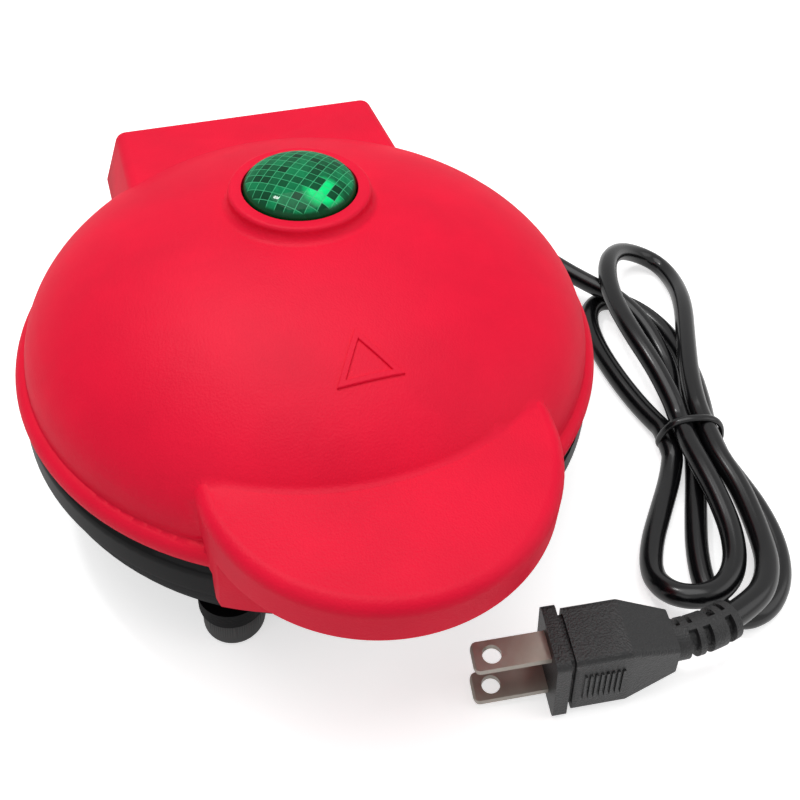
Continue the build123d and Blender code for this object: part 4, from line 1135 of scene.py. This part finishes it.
@dataclass
class Studio:
    """Floor, surroundings, lamps and camera."""

    eye: Point = (-0.04502, -0.16138, 0.20551)
    azimuth: float = -23.22  # in degrees, as are the next two
    elevation: float = 40.02
    roll: float = 4.42
    lens: float = 44.72  # focal length in mm
    sensor: float = 36.0  # width in mm
    shift: tuple[float, float] = (-0.0297, -0.1627)
    clip: float = 0.01  # nearest distance that it sees
    ambient: float = 0.32  # strength of the surroundings as a light
    floor_size: float = 4.0  # half the floor's width
    # darkest and lightest
    floor_greys: tuple[Colour, Colour] = ((0.86, 0.86, 0.86), (0.88, 0.88, 0.88))
    # its own white, for the rays that see the surroundings
    floor_glow: float = 0.6
    aim: Point = (0.0, 0.0, 0.03)  # what the lamps point at
    lamps: tuple[Lamp, ...] = (
        Lamp("top_lamp", (0.0, 0.06, 0.76), size=0.6, power=3.0),
        Lamp("front_lamp", (-0.55, -0.45, 0.5), size=0.5, power=0.5),
        Lamp("side_lamp", (0.6, -0.3, 0.45), size=0.5, power=1.0),
        Lamp("spark_lamp", (-0.19, 0.27, 0.70), size=0.07, power=1.0),
    )

    @staticmethod
    def white_rays(sheet: NodeSheet) -> bpy.types.NodeSocket:
        """Adds a switch for the rays that see the plain surroundings.

        Args:
            sheet: The nodes to add to.

        Returns:
            The switch, 0 or 1.
        """
        path = sheet.node("ShaderNodeLightPath", {}).outputs
        camera, glossy, transmission = (path[ray.value] for ray in Ray)
        return sheet.maths("MAXIMUM", sheet.maths("MAXIMUM", camera, glossy), transmission)

    def surroundings(self) -> None:
        """Makes surroundings that are white to look at and softer as a light."""
        world = bpy.data.worlds.new("studio")
        world.use_nodes = True
        bpy.context.scene.world = world
        sheet = NodeSheet(world.node_tree)
        background = sheet.tree.nodes["Background"].inputs
        seen = self.white_rays(sheet)
        sheet.feed(background["Color"], (1.0, 1.0, 1.0, 1.0))
        sheet.feed(background["Strength"], sheet.spread(seen, self.ambient, 1.0, 0.0, 1.0))

    def floor(self) -> None:
        """Makes the pale floor that keeps the object's shadow."""
        shape = bmesh.new()
        bmesh.ops.create_grid(shape, x_segments=1, y_segments=1, size=self.floor_size)
        made = in_scene("floor", mesh_of(shape, "floor"))
        sheet = ShaderSheet("pale_floor")
        seen = self.white_rays(sheet)
        sheet.surface(
            Base_Color=sheet.blend(sheet.noise(scale=30.0), *self.floor_greys),
            Roughness=0.8,
            Specular_IOR_Level=0.0,
            Emission_Color=(1.0, 1.0, 1.0),
            Emission_Strength=sheet.spread(seen, 0.0, self.floor_glow, 0.0, 1.0),
        )
        made.data.materials.append(sheet.material)

    def light(self, lamp: Lamp) -> None:
        """Adds a lamp that points at the press.

        Args:
            lamp: The lamp.
        """
        data = bpy.data.lights.new(lamp.name, "AREA")
        data.shape = "SQUARE"
        data.size = lamp.size
        data.energy = lamp.power
        made = in_scene(lamp.name, data)
        made.location = lamp.place
        way = Vector(self.aim) - Vector(lamp.place)
        made.rotation_euler = way.to_track_quat("-Z", "Y").to_euler()

    def camera(self) -> None:
        """Adds the camera at the photograph's angle."""
        a, e, r = (math.radians(v) for v in (self.azimuth, self.elevation, self.roll))
        back = Vector((math.sin(a) * math.cos(e), -math.cos(a) * math.cos(e), math.sin(e)))
        right = Vector((math.cos(a), math.sin(a), 0.0))
        up = back.cross(right)
        turned_right = right * math.cos(r) + up * math.sin(r)
        turned_up = up * math.cos(r) - right * math.sin(r)
        data = bpy.data.cameras.new("camera")
        data.lens = self.lens
        data.sensor_width = self.sensor
        data.shift_x, data.shift_y = self.shift
        data.clip_start = self.clip
        made = in_scene("camera", data)
        turn = Matrix((turned_right, turned_up, back)).transposed().to_4x4()
        made.matrix_world = Matrix.Translation(self.eye) @ turn
        bpy.context.scene.camera = made

    def build(self) -> None:
        """Builds the studio."""
        self.surroundings()
        self.floor()
        for lamp in self.lamps:
            self.light(lamp)
        self.camera()
        bpy.context.scene.view_settings.view_transform = "Standard"


def main() -> None:
    """Builds the press and its studio."""
    logging.basicConfig(level=logging.INFO, format="%(name)s: %(message)s")
    for old in list(bpy.data.objects):
        bpy.data.objects.remove(old)
    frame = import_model()
    bench = Workbench(frame)
    MainsLead(bench).build()
    Press(bench).build()
    Studio().build()


if __name__ == "__main__":
    main()
